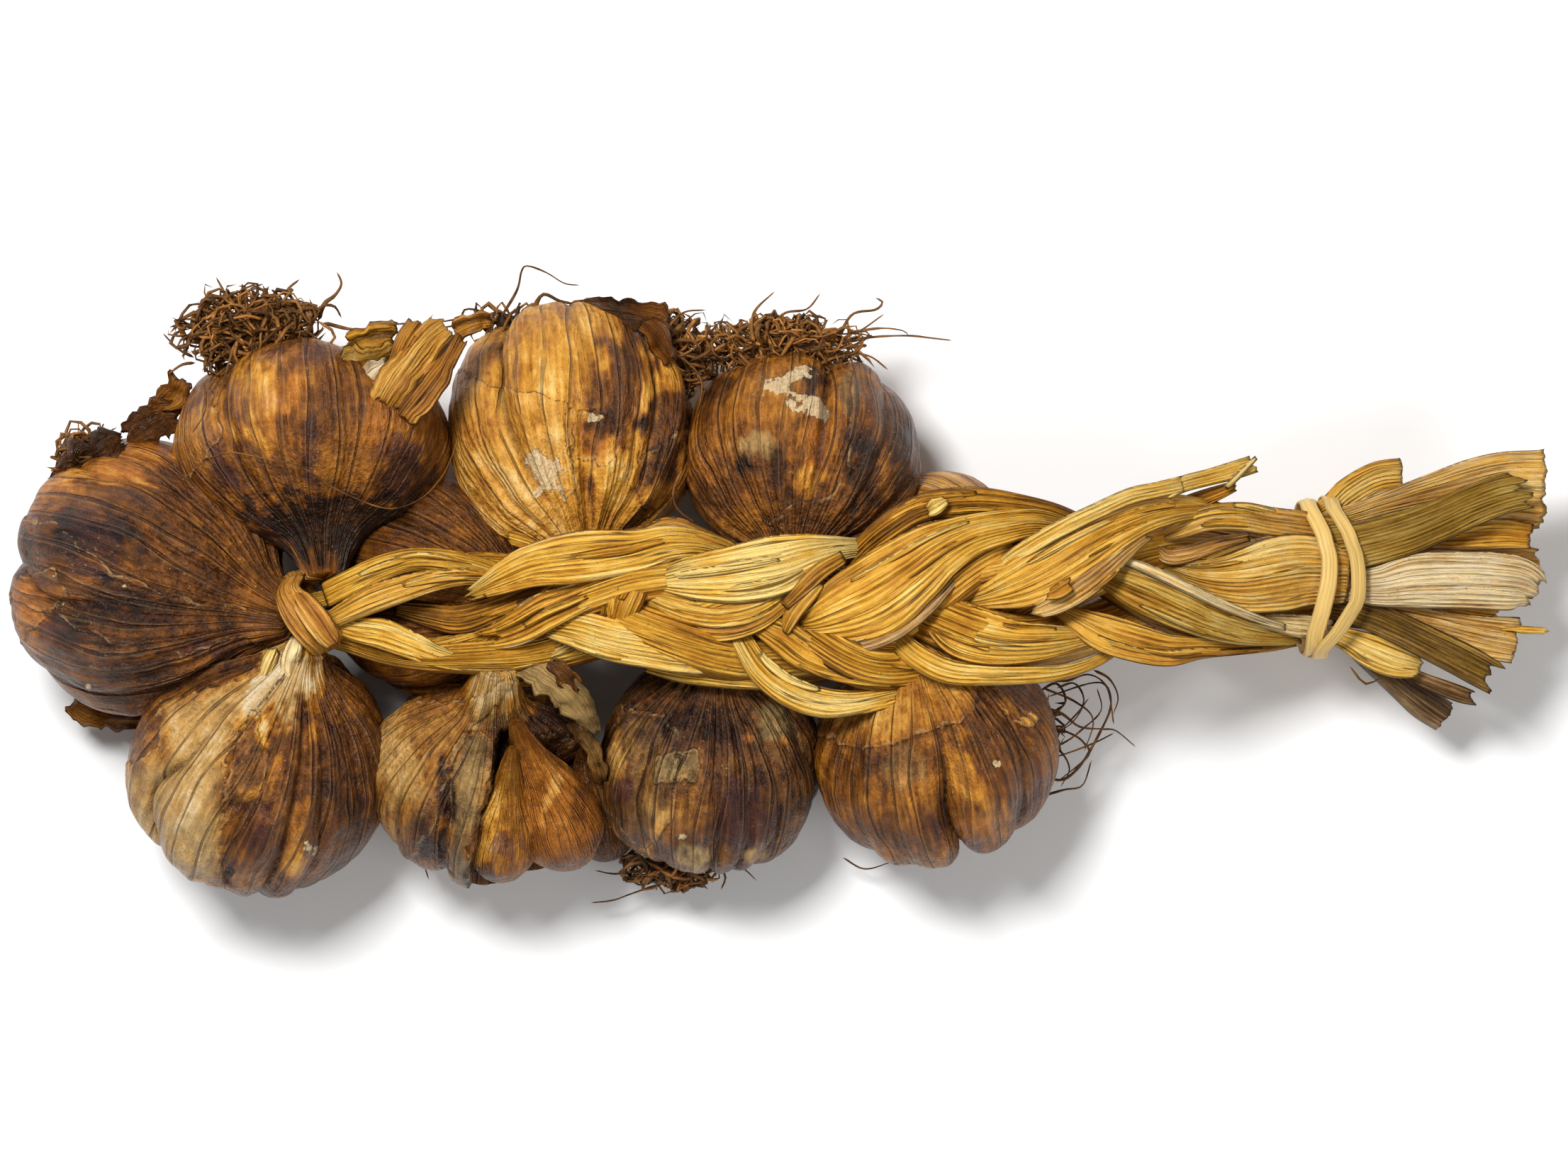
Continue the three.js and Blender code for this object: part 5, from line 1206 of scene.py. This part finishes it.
# Tufts of roots.
ROOTS = {
    "roots_1": dict(
        middle=(-152, 27.4, 34), half=(5.6, 6.6, 4.6), count=50, tone=0.2,
        strays=[
            stray(35, 0.7, (-152, 28), (-155, 29.6), (-156.4, 31.4)),
            stray(34, 0.6, (-155, 25), (-158, 22.4), (-160, 19)),
            stray(36, 0.7, (-149, 31), (-147.6, 33.4), (-145, 35))]),
    "roots_2": dict(
        middle=(-115.4, 55, 45), half=(14, 7.8, 6.6), count=150, tone=0.26,
        strays=[
            stray(40, 0.9, (-101, 58), (-99.6, 61.6), (-97.4, 63.4), (-96, 66), (-97, 68.6)),
            stray(42, 0.8, (-103, 56), (-100.6, 60.6), (-97.4, 61), (-95.8, 58.4)),
            stray(38, 0.7, (-128, 50), (-131.6, 52), (-135, 55.4)),
            stray(36, 0.7, (-128, 49), (-131, 48.6), (-134, 46.4)),
            stray(38, 0.8, (-121, 60), (-121.6, 64), (-123.4, 67.6)),
            stray(40, 0.8, (-118, 60), (-116, 64.4), (-113, 66)),
            stray(40, 0.7, (-107, 60), (-108, 64), (-105, 67)),
            stray(51, 0.7, (-99, 57), (-92, 55.5), (-85, 56.5), (-79, 57)),
            stray(62, 0.5, (-117, 52), (-118.6, 46), (-120.6, 39)),
            stray(57, 0.5, (-124, 44), (-123.6, 38), (-126.4, 33)),
            stray((60, 65, 66.2, 66.2, 65.4, 63.4, 61, 59, 57, 53, 49, 45, 42), 0.42, (-123, 27.4),
                (-118, 28.7), (-114, 28.3), (-108, 27), (-103, 26), (-97, 22), (-91, 19), (-86, 17.2),
                (-82, 17.2), (-77, 19.8), (-73, 25), (-70.6, 32), (-70, 39))]),
    "roots_3": dict(
        middle=(-24, 51, 26), half=(8, 8, 7), count=60, tone=0.26,
        strays=[
            stray(33, 0.7, (-28, 53), (-22, 50), (-18, 45), (-19, 37)),
            stray(40, 0.7, (-22, 26), (-24, 21), (-23, 17), (-19, 14)),
            stray(34, 0.6, (-26, 56), (-22, 60), (-17, 60.6)),
            stray(34, 0.6, (-27, 49), (-20, 52), (-14, 58))]),
    "roots_3b": dict(
        middle=(-60, 58.4, 27), half=(7, 3.4, 4), count=16, tone=0.16,
        strays=[
            stray(30, 0.55, (-62, 59), (-58.4, 65), (-57.4, 69.4), (-56, 70.4), (-52, 69), (-48, 66.6),
                (-44.6, 66.2)),
            stray(28, 0.6, (-60, 57), (-66, 60.4), (-70, 61), (-71, 58), (-75, 57)),
            stray(34, 1.1, (-55, 60), (-52.6, 64), (-49, 62.6), (-46, 62)),
            stray(40, 0.6, (-62, 58), (-68, 58.6), (-75, 57.6), (-80, 57))]),
    "roots_4": dict(
        middle=(0, 52.6, 29), half=(16.6, 5.4, 6), count=130, tone=0.32,
        strays=[
            stray(28, 0.6, (-7, 56), (-6.4, 60.6), (-2, 65)),
            stray(30, 0.6, (-3, 56), (0, 60), (5, 61), (8, 64.5)),
            stray(28, 0.8, (12, 55), (15, 60), (20, 61), (21.6, 62.6), (20, 63.6)),
            stray(26, 0.6, (14, 56), (21, 57), (26, 56.5), (27.4, 55.3)),
            stray(24, 0.65, (12, 54), (20, 55.2), (27.5, 55.5), (32, 55), (37, 54.4)),
            stray(22, 0.6, (14, 52), (19, 51), (23, 48)),
            stray(30, 0.6, (8, 54), (13, 57), (16, 56), (22, 60)),
            stray(28, 0.6, (-24, 57), (-19, 55), (-14, 50)),
            stray(27, 0.7, (-22, 48), (-16, 50), (-12, 54))]),
    "roots_7": dict(
        middle=(-25, -60.6, 15), half=(10.4, 5, 6.4), count=80, tone=0.2,
        strays=[
            stray(20, 0.6, (-34, -48), (-35.4, -53), (-34, -58)),
            stray(14, 0.5, (-30, -62), (-37, -63.4), (-42, -62.6)),
            stray(10, 0.5, (-28, -66), (-34, -68), (-38, -69.4), (-43, -70)),
            stray(14, 0.6, (-15, -61), (-13, -64), (-14, -67)),
            stray(12, 0.5, (-18, -62), (-10, -62), (-6, -65)),
            stray(12, 0.6, (-83.6, -52), (-85, -53.6), (-83, -54)),
            stray(10, 0.4, (-79, -57), (-80, -61), (-79, -65))]),
    "roots_8": dict(
        middle=(58, -30, 21), half=(3, 8, 4.4), count=5, tone=0.16,
        strays=[
            stray(24, 0.6, (56, -26), (61, -27.6), (65, -30.5), (70, -31), (73, -31.4), (77.4, -35)),
            stray(22, 0.6, (58, -42), (62, -42), (66, -38), (70, -31), (72, -26), (71, -21.6), (67.5, -21),
                (58, -24)),
            stray(20, 0.6, (57, -30), (63, -32), (66, -34), (67, -37), (60, -43)),
            stray(25, 0.55, (57, -20), (62, -20.4), (67, -19), (71, -22), (72.4, -30)),
            stray(23, 0.5, (68, -18), (71.6, -20), (73.5, -24), (72.4, -28)),
            stray(18, 0.5, (58, -38), (64, -36), (69, -34), (73, -32)),
            stray(24, 0.5, (57, -22), (64, -25), (68, -29), (66, -36)),
            stray(17, 0.5, (57, -46), (62, -44.6), (66, -43.6), (68, -38)),
            stray(21, 0.55, (56, -23), (60, -21), (62, -25), (59, -29), (62, -33)),
            stray(26, 0.5, (57, -27), (60, -31), (64, -28), (67, -24)),
            stray(19, 0.55, (57, -34), (61, -36), (63, -40), (61, -44)),
            stray(23, 0.5, (60, -22), (64, -21), (66, -25), (63, -30), (57, -33)),
            stray(20, 0.5, (57, -36), (62, -34), (66, -31), (70, -27), (69, -22)),
            stray(8, 0.4, (13, -60), (18, -62.6), (24, -61))]),
}


def route(name):
    """Stations along a strand's own path in the plait, for the stalks under its leaves."""
    window = np.ones(41) / 41
    reach = np.linspace(-112, 133.4, 500)

    def soft(table):
        return np.convolve(np.interp(reach, *zip(*table)), window, "valid")

    wide = np.linspace(-102, 123.4, 460)
    turn = np.radians(soft(BEATS[name]))
    y = soft(PLAIT_Y) + soft(SWING_Y) * np.sin(turn)
    z = soft(PLAIT_Z) + soft(SWING_Z) * np.sin(2 * turn)
    line = columns(wide, y, z, soft(HALF_WIDTH) * 0.8)
    return line[np.linspace(0, len(wide) - 1, 60).astype(int)]


def splits(stations, look, rng, seed):
    """Narrow strips that have come away along a broad leaf."""
    line = curve(stations, 60)
    way = unit(np.gradient(line[:, :3], axis=0))
    across = unit(np.cross(way, UP))
    sheets = []
    for k in range(rng.integers(2, 4)):
        start = rng.uniform(0.06, 0.5)
        end = start + rng.uniform(0.25, 0.42)
        pick = np.linspace(start * 59, end * 59, 7).astype(int)
        place = rng.uniform(-0.8, 0.8) + np.linspace(0, rng.uniform(-0.16, 0.16), 7)
        strip = line[pick].copy()
        strip[:, :3] += across[pick] * (place * line[pick, 3])[:, None]
        drop = (place * line[pick, 3]) ** 2 / (2 * look.get("bend", 11.0))
        strip[:, 2] += 0.62 - drop - 0.5 * np.abs(np.linspace(-1, 1, 7)) ** 3
        strip[:, 3] = rng.uniform(0.5, 1.3) * np.sin(np.linspace(0.35, 2.9, 7)) ** 0.6
        style = {
            **look, "tone": look["tone"] + rng.uniform(-0.16, 0.22), "grey": min(look.get("grey", 0), 0.2),
            "thick": 0.4, "ends": (1, 1), "edge": 0.3, "bend": 5.0, "buckle": 0.3, "roll": (0, 0),
        }
        sheets.append(ribbon(strip, seed=seed + 31 * k, **style))
    return sheets


def plait_strand(name, number, sizes, material):
    """One strand: ribbed stalks along its whole path, with the broad leaves that show lying over them."""
    line = route(name)
    sheets = []
    for k, (side, drop) in enumerate(((-0.34, 0.9), (0.36, 0.5), (0.0, -0.9))):
        stations = line.copy()
        stations[:, 1] += side * line[:, 3] * 0.56
        stations[:, 2] -= drop + 2.5
        stations[:, 3] *= 0.66
        sheets.append(ribbon(stations, tone=0.34 + 0.06 * k, ember=0.1, thick=4.6, bend=16,
                             seed=100 * number + k, ribs=sizes.rib_height * 2, gap=0.6, tip=2))
    rng = np.random.default_rng(60 + number)
    for k, (stations, look) in enumerate(LEAVES[name]):
        look = {"ribs": sizes.rib_height, "thick": sizes.leaf_thickness, "lift": 1.2, **look}
        sheets.append(ribbon(stations, seed=200 * number + 7 * k + 1, **look))
        if max(station[3] for station in stations) > 3:
            sheets += splits(stations, look, rng, 200 * number + 7 * k + 2)
    return piece_of(f"{name}_leaves", rolled(name, sheets), material, [name])


def ring_of(loop, half_width, outward):
    """Stations for one turn of raffia round the fan, from its place across the top."""
    top = np.array(loop, float)
    turn = np.linspace(0, FULL_TURN, 40, endpoint=False)
    y = RAFFIA_MIDDLE[1] + (15.6 + outward) * np.sign(np.cos(turn)) * np.abs(np.cos(turn)) ** 0.72
    z = RAFFIA_MIDDLE[2] + (13.2 + outward) * np.sign(np.sin(turn)) * np.abs(np.sin(turn)) ** 0.8
    x = np.interp(-y, -top[:, 0], top[:, 1])
    line = columns(x, y, z, half_width)
    return np.vstack([line, line[:3]])


def tuft(name, spec, number, sizes, material):
    """A tuft of dry roots: curly fibres over a small heart whose dark tone is painted shade, with a few long
    strays.
    """
    rng = np.random.default_rng(300 + number)
    middle, half = np.array(spec["middle"], float), np.array(spec["half"], float)
    tone = spec["tone"] + 0.12
    heart = [middle - half * (0.5, 0, 0.1), middle, middle + half * (0.5, 0, 0.1)]
    # The heart's dark tone paints the shade deep inside the tuft.
    sheets = [fibre([*heart], min(half[1], half[2]) * 1.2, 0.1, 3, 14, 0.9)]
    for k in range(int(spec["count"] * 2.6)):
        spot = middle + rng.normal(0, 0.42, 3) * half
        way = unit(rng.normal(0, 1, 3) * (1.2, 0.8, 0.4))
        turned = unit(rng.normal(0, 1, 3))
        points = [spot]
        for _ in range(rng.integers(4, 8)):
            way = unit(way + rng.normal(0, 0.28, 3) * (1, 1, 0.6) + 0.3 * np.cross(turned, way))
            away = (spot - middle) / half
            way = unit(way - 1.1 * away * max(np.linalg.norm(away) - 0.7, 0))
            spot = spot + way * rng.uniform(1.7, 3.1)
            points.append(np.maximum(spot, (-999, -999, 1)))
        thick = sizes.root_thickness * rng.uniform(0.6, 1.5)
        sheets.append(fibre(points, thick, tone + rng.uniform(-0.14, 0.3), k, 4, 2.2))
    for k, (points, z, thick) in enumerate(spec["strays"]):
        flat = np.array(points, float)
        high = np.full(len(flat), z, float) if np.isscalar(z) else np.array(z, float)
        wave = rng.normal(0, 0.5, len(flat)) if np.isscalar(z) else 0
        line = columns(flat[:, 0], flat[:, 1], high + wave)
        sheets.append(fibre(line, thick * 1.1, tone + 0.06, 50 + k, 6, 0.9))
    return piece_of(f"{name}_fibres", rolled(name, sheets), material, [name])


# ---------------------------------------------------------------- settings, operators and panel


def colour(name, default, text):
    """A colour that the user can change."""
    return bpy.props.FloatVectorProperty(
        name=name, description=text, default=default, size=3, min=0, max=1, subtype="COLOR")


def length(name, default, low, high, text):
    """A length in metres that the user can change."""
    return bpy.props.FloatProperty(
        name=name, description=text, default=default, min=low, max=high, unit="LENGTH")


class BraidColours(bpy.types.PropertyGroup):
    """The main colours of the braid."""

    skin_dark: colour("Skin dark", (0.042, 0.0125, 0.003), "Smoked skin in its folds")
    skin_brown: colour("Skin brown", (0.15, 0.047, 0.0055), "Smoked skin, brown parts")
    skin_amber: colour("Skin amber", (0.37, 0.133, 0.0105), "Smoked skin, amber parts")
    skin_gold: colour("Skin gold", (0.67, 0.305, 0.03), "Smoked skin, golden parts")
    skin_khaki: colour("Skin khaki", (0.43, 0.265, 0.09), "Outer paper that took less smoke")
    skin_purple: colour("Skin purple", (0.1, 0.03, 0.024), "Purple stains")
    skin_rust: colour("Skin rust", (0.42, 0.128, 0.013), "Orange-brown parts")
    leaf_brown: colour("Leaf brown", (0.2, 0.08, 0.009), "Leaf in its folds")
    leaf_gold: colour("Leaf gold", (0.53, 0.215, 0.015), "Leaf, most of it")
    leaf_straw: colour("Leaf straw", (0.87, 0.46, 0.052), "Leaf where it is palest")
    leaf_olive: colour("Leaf olive", (0.25, 0.135, 0.014), "Leaf that stayed greenish")
    root: colour("Root", (0.15, 0.062, 0.014), "Dry roots")
    raffia: colour("Raffia", (0.86, 0.56, 0.17), "Raffia tie")


class BraidSizes(bpy.types.PropertyGroup):
    """Sizes of the details, in metres."""

    leaf_thickness: length("Leaf thickness", 0.0009, 0.0003, 0.003, "Thickness of one leaf")
    rib_height: length("Rib height", 0.0002, 0, 0.001, "Height of the ribs along a leaf")
    root_thickness: length("Root thickness", 0.00085, 0.0003, 0.002, "Thickness of a root where it grows")


class StageSettings(bpy.types.PropertyGroup):
    """Camera and light."""

    camera_height: length("Camera height", 1.2, 0.3, 5, "Height of the camera over the floor")
    picture_width: length("Picture width", 0.34, 0.05, 2, "Width that the camera sees at the plait's height")
    key_power: bpy.props.FloatProperty(
        name="Key light", description="Power of the soft light", default=11.0, min=0, max=1000, unit="POWER")
    sky: bpy.props.FloatProperty(
        name="Sky", description="Strength of the light from all round", default=0.22, min=0, max=5)


def shade(c, k):
    """A colour made darker or lighter by a factor."""
    return tuple(min(v * k, 1) for v in c)


def steps(c, *factors):
    """Colour steps at places 0 to 1, each a darker or lighter shade of one colour."""
    return [(place, shade(c, k)) for place, k in factors]


class Looks:
    """Colour steps for the materials, worked out from the chosen colours."""

    def __init__(self, c):
        amber, gold = tuple(c.skin_amber), tuple(c.skin_gold)
        self.warm = [(0, shade(c.skin_dark, 0.25)), (0.16, tuple(c.skin_dark)), (0.36, tuple(c.skin_brown)),
                     (0.55, amber), (0.76, gold), (1, (0.9, 0.58, 0.17))]
        self.dull = steps(c.skin_khaki, (0, 0.05), (0.2, 0.2), (0.45, 0.62), (0.72, 1.3))
        self.dull.append((1, (0.78, 0.62, 0.38)))
        self.rust = steps(c.skin_rust, (0, 0.06), (0.35, 0.4), (0.62, 1)) + [(1, (0.85, 0.42, 0.09))]
        self.purple = steps(c.skin_purple, (0, 0.12), (0.4, 0.7)) + [(1, (0.26, 0.1, 0.075))]
        self.cream = [(0.25, (0.5, 0.34, 0.17)), (0.75, (0.82, 0.63, 0.36))]
        self.vein = (0.035, 0.014, 0.009, 1)
        self.speck = (0.62, 0.46, 0.26, 1)
        # Painted shadow along torn edges and painted shade in creases and hollows.
        self.painted_shadow = (0.012, 0.005, 0.004, 1)
        # Pale torn rims, and the painted highlight line beside each vein.
        self.rim = (0.62, 0.4, 0.17, 1)
        self.leaf = steps(c.leaf_brown, (0, 0.08), (0.14, 0.4), (0.32, 1))
        self.leaf += [(0.55, tuple(c.leaf_gold)), (0.8, tuple(c.leaf_straw)), (1, (0.95, 0.66, 0.2))]
        self.ember = [(0, (0.03, 0.01, 0.004)), (0.32, (0.19, 0.062, 0.012)), (0.62, (0.48, 0.19, 0.03)),
                      (1, (0.82, 0.45, 0.11))]
        self.olive = steps(c.leaf_olive, (0, 0.06), (0.35, 0.55), (0.6, 1.3)) + [(1, (0.6, 0.44, 0.13))]
        self.grey = [(0, (0.02, 0.013, 0.008)), (0.3, (0.13, 0.085, 0.045)), (0.6, (0.42, 0.3, 0.17)),
                     (1, (0.8, 0.66, 0.46))]
        self.pale = (0.88, 0.63, 0.27, 1)
        # Dark threads; the same colour paints the shade in leaf hollows and grooves.
        self.thread = (0.03, 0.012, 0.005, 1)
        self.mould = (0.035, 0.02, 0.01, 1)
        self.root = steps(c.root, (0, 0.12), (0.3, 0.5), (0.6, 1.7), (1, 5))
        self.raffia = steps(c.raffia, (0.25, 0.4), (0.5, 0.85), (0.8, 1.1))


MAKERS = {
    "smoked skin": skin_material, "dried leaf": leaf_material, "dry roots": root_material,
    "dry raffia": raffia_material,
}


def material(kind):
    """One of the braid's materials, made the first time it is asked for."""
    return bpy.data.materials.get(kind) or MAKERS[kind](Looks(bpy.context.scene.braid_colours))


class Sizes:
    """The detail sizes in millimetres."""

    def __init__(self):
        s = bpy.context.scene.braid_sizes
        self.leaf_thickness = s.leaf_thickness / MM
        self.rib_height = s.rib_height / MM
        self.root_thickness = s.root_thickness / MM


# Each light: its place and size in metres, and its power over the key light's.
LIGHTS = (("key", (-0.28, 0.34, 0.95), 0.26, 1.0), ("fill", (0.5, -0.4, 0.8), 0.5, 0.25))
SENSOR = 36
PLAIT_HEIGHT = 0.04


class BRAID_OT_stage(bpy.types.Operator):
    """Make the floor, the soft light and the camera over the braid"""

    bl_idname = "braid.stage"
    bl_label = "Stage"

    def execute(self, context):
        stage = context.scene.braid_stage
        middle = SHEET * MM
        work = bmesh.new()
        bmesh.ops.create_grid(work, x_segments=1, y_segments=1, size=2.5)
        mesh = bpy.data.meshes.new("floor")
        work.to_mesh(mesh)
        work.free()
        p = Paint("pale floor")
        mesh.materials.append(p.finish((0.93, 0.93, 0.93, 1), 0.8, 0.2))
        floor = bpy.data.objects.new("floor", mesh)
        context.scene.collection.objects.link(floor)
        world = bpy.data.worlds.new("soft sky")
        world.use_nodes = True
        world.node_tree.nodes["Background"].inputs["Color"].default_value = (1, 0.99, 0.97, 1)
        world.node_tree.nodes["Background"].inputs["Strength"].default_value = stage.sky
        context.scene.world = world
        for name, spot, size, power in LIGHTS:
            data = bpy.data.lights.new(name, "AREA")
            data.size = size
            data.energy = stage.key_power * power
            light = bpy.data.objects.new(name, data)
            light.location = spot
            light.rotation_euler = (-Vector(spot)).to_track_quat("-Z", "Y").to_euler()
            context.scene.collection.objects.link(light)
        data = bpy.data.cameras.new("camera")
        data.sensor_width = SENSOR
        data.lens = SENSOR * (stage.camera_height - PLAIT_HEIGHT) / stage.picture_width
        data.clip_end = 20
        camera = bpy.data.objects.new("camera", data)
        camera.location = (middle[0], middle[1], stage.camera_height)
        context.scene.collection.objects.link(camera)
        context.scene.camera = camera
        context.scene.view_settings.view_transform = "Standard"
        return {"FINISHED"}


class BRAID_OT_bulbs(bpy.types.Operator):
    """Make the ten bulbs in their papery skins"""

    bl_idname = "braid.bulbs"
    bl_label = "Bulbs"

    def execute(self, context):
        for number, (name, spec) in enumerate(BULBS.items()):
            bulb(name, spec, number + 1, material("smoked skin"))
        return {"FINISHED"}


class BRAID_OT_cloves(bpy.types.Operator):
    """Make the cloves that show where the sixth bulb has opened"""

    bl_idname = "braid.cloves"
    bl_label = "Loose Cloves"

    def execute(self, context):
        for number, (name, spec) in enumerate(CLOVES.items()):
            bulb(name, spec, number + 20, material("smoked skin"), clove=True)
        return {"FINISHED"}


class BRAID_OT_plait(bpy.types.Operator):
    """Make the three plaited strands"""

    bl_idname = "braid.plait"
    bl_label = "Plait"

    def execute(self, context):
        for number, name in enumerate(BEATS):
            plait_strand(name, number + 1, Sizes(), material("dried leaf"))
        return {"FINISHED"}


class BRAID_OT_ties(bpy.types.Operator):
    """Make the leaf wrapped round the first necks and the raffia round the fan"""

    bl_idname = "braid.ties"
    bl_label = "Wrap and Raffia"

    def execute(self, context):
        wrap = ribbon(WRAP, tone=0.44, ember=1.2, thick=1.3, bend=9, hub=WRAP_MIDDLE, seed=5, ribs=0.14,
                      buckle=0.3, weave=0.6)
        end = ribbon(WRAP_OVER, tone=0.46, ember=1.2, thick=0.8, bend=8, seed=6, ends=(1, 2), edge=0.4,
                     ribs=0.12, weave=0.6)
        mesh = rolled("wrap_leaf", [wrap, end])
        piece_of("wrap_leaf", mesh, material("dried leaf"), ["wrapped_stalk"])
        rings = [
            ribbon(ring_of(loop, RAFFIA_HALF_WIDTH, 1.3 + 0.5 * k), thick=0.7, bend=16, hub=RAFFIA_MIDDLE,
                   seed=9 + k, ribs=0.12, buckle=0.15)
            for k, loop in enumerate(LOOPS)
        ]
        piece_of("raffia_bands", rolled("raffia", rings), material("dry raffia"), ["raffia_tie"])
        return {"FINISHED"}


class BRAID_OT_fan(bpy.types.Operator):
    """Make the fan of cut leaf ends past the raffia"""

    bl_idname = "braid.fan"
    bl_label = "Leaf Ends"

    def execute(self, context):
        for k, (name, (stations, look)) in enumerate(FAN.items()):
            sheets = [ribbon(stations, seed=500 + 9 * k, **look)]
            if name == "leaf_tan":
                sheets += [fibre(points, thick, tone, 4) for points, thick, tone in TWIGS]
            piece_of(f"{name}_blade", rolled(name, sheets), material("dried leaf"), [name])
        return {"FINISHED"}


class BRAID_OT_stubs(bpy.types.Operator):
    """Make the cut stalk, the short stubs and the torn papers"""

    bl_idname = "braid.stubs"
    bl_label = "Stubs and Papers"

    def execute(self, context):
        for k, (name, parts) in enumerate(STUBS.items()):
            papery = name.startswith("skin")
            sheets = [
                ribbon(stations, seed=700 + 13 * k + m, skin=papery, **look)
                for m, (stations, look) in enumerate(parts)
            ]
            kind, slot = ("smoked skin", "torn_skin") if papery else ("dried leaf", "stalk")
            piece_of(f"{name}_paper", rolled(name, sheets), material(kind), [name])
        return {"FINISHED"}


class BRAID_OT_roots(bpy.types.Operator):
    """Make the tufts of dry roots"""

    bl_idname = "braid.roots"
    bl_label = "Roots"

    def execute(self, context):
        for number, (name, spec) in enumerate(ROOTS.items()):
            tuft(name, spec, number, Sizes(), material("dry roots"))
        return {"FINISHED"}


OPERATORS = (
    BRAID_OT_stage, BRAID_OT_bulbs, BRAID_OT_cloves, BRAID_OT_plait, BRAID_OT_ties, BRAID_OT_fan,
    BRAID_OT_stubs, BRAID_OT_roots,
)


class BRAID_PT_sidebar(bpy.types.Panel):
    """Lists the braid's settings and the operators that make it"""

    bl_idname = "BRAID_PT_sidebar"
    bl_label = "Garlic Braid"
    bl_space_type = "VIEW_3D"
    bl_region_type = "UI"
    bl_category = "Garlic Braid"

    def draw(self, context):
        for group in (context.scene.braid_stage, context.scene.braid_sizes, context.scene.braid_colours):
            box = self.layout.box()
            for key in group.__annotations__:
                box.prop(group, key)
        for operator in OPERATORS:
            self.layout.operator(operator.bl_idname)


CLASSES = (BraidColours, BraidSizes, StageSettings, *OPERATORS, BRAID_PT_sidebar)


def register():
    for cls in CLASSES:
        bpy.utils.register_class(cls)
    bpy.types.Scene.braid_colours = bpy.props.PointerProperty(type=BraidColours)
    bpy.types.Scene.braid_sizes = bpy.props.PointerProperty(type=BraidSizes)
    bpy.types.Scene.braid_stage = bpy.props.PointerProperty(type=StageSettings)


def unregister():
    del bpy.types.Scene.braid_stage
    del bpy.types.Scene.braid_sizes
    del bpy.types.Scene.braid_colours
    for cls in reversed(CLASSES):
        bpy.utils.unregister_class(cls)


def main():
    register()
    bpy.ops.braid.stage()
    bpy.ops.braid.bulbs()
    bpy.ops.braid.cloves()
    bpy.ops.braid.plait()
    bpy.ops.braid.ties()
    bpy.ops.braid.fan()
    bpy.ops.braid.stubs()
    bpy.ops.braid.roots()


if __name__ == "__main__":
    main()
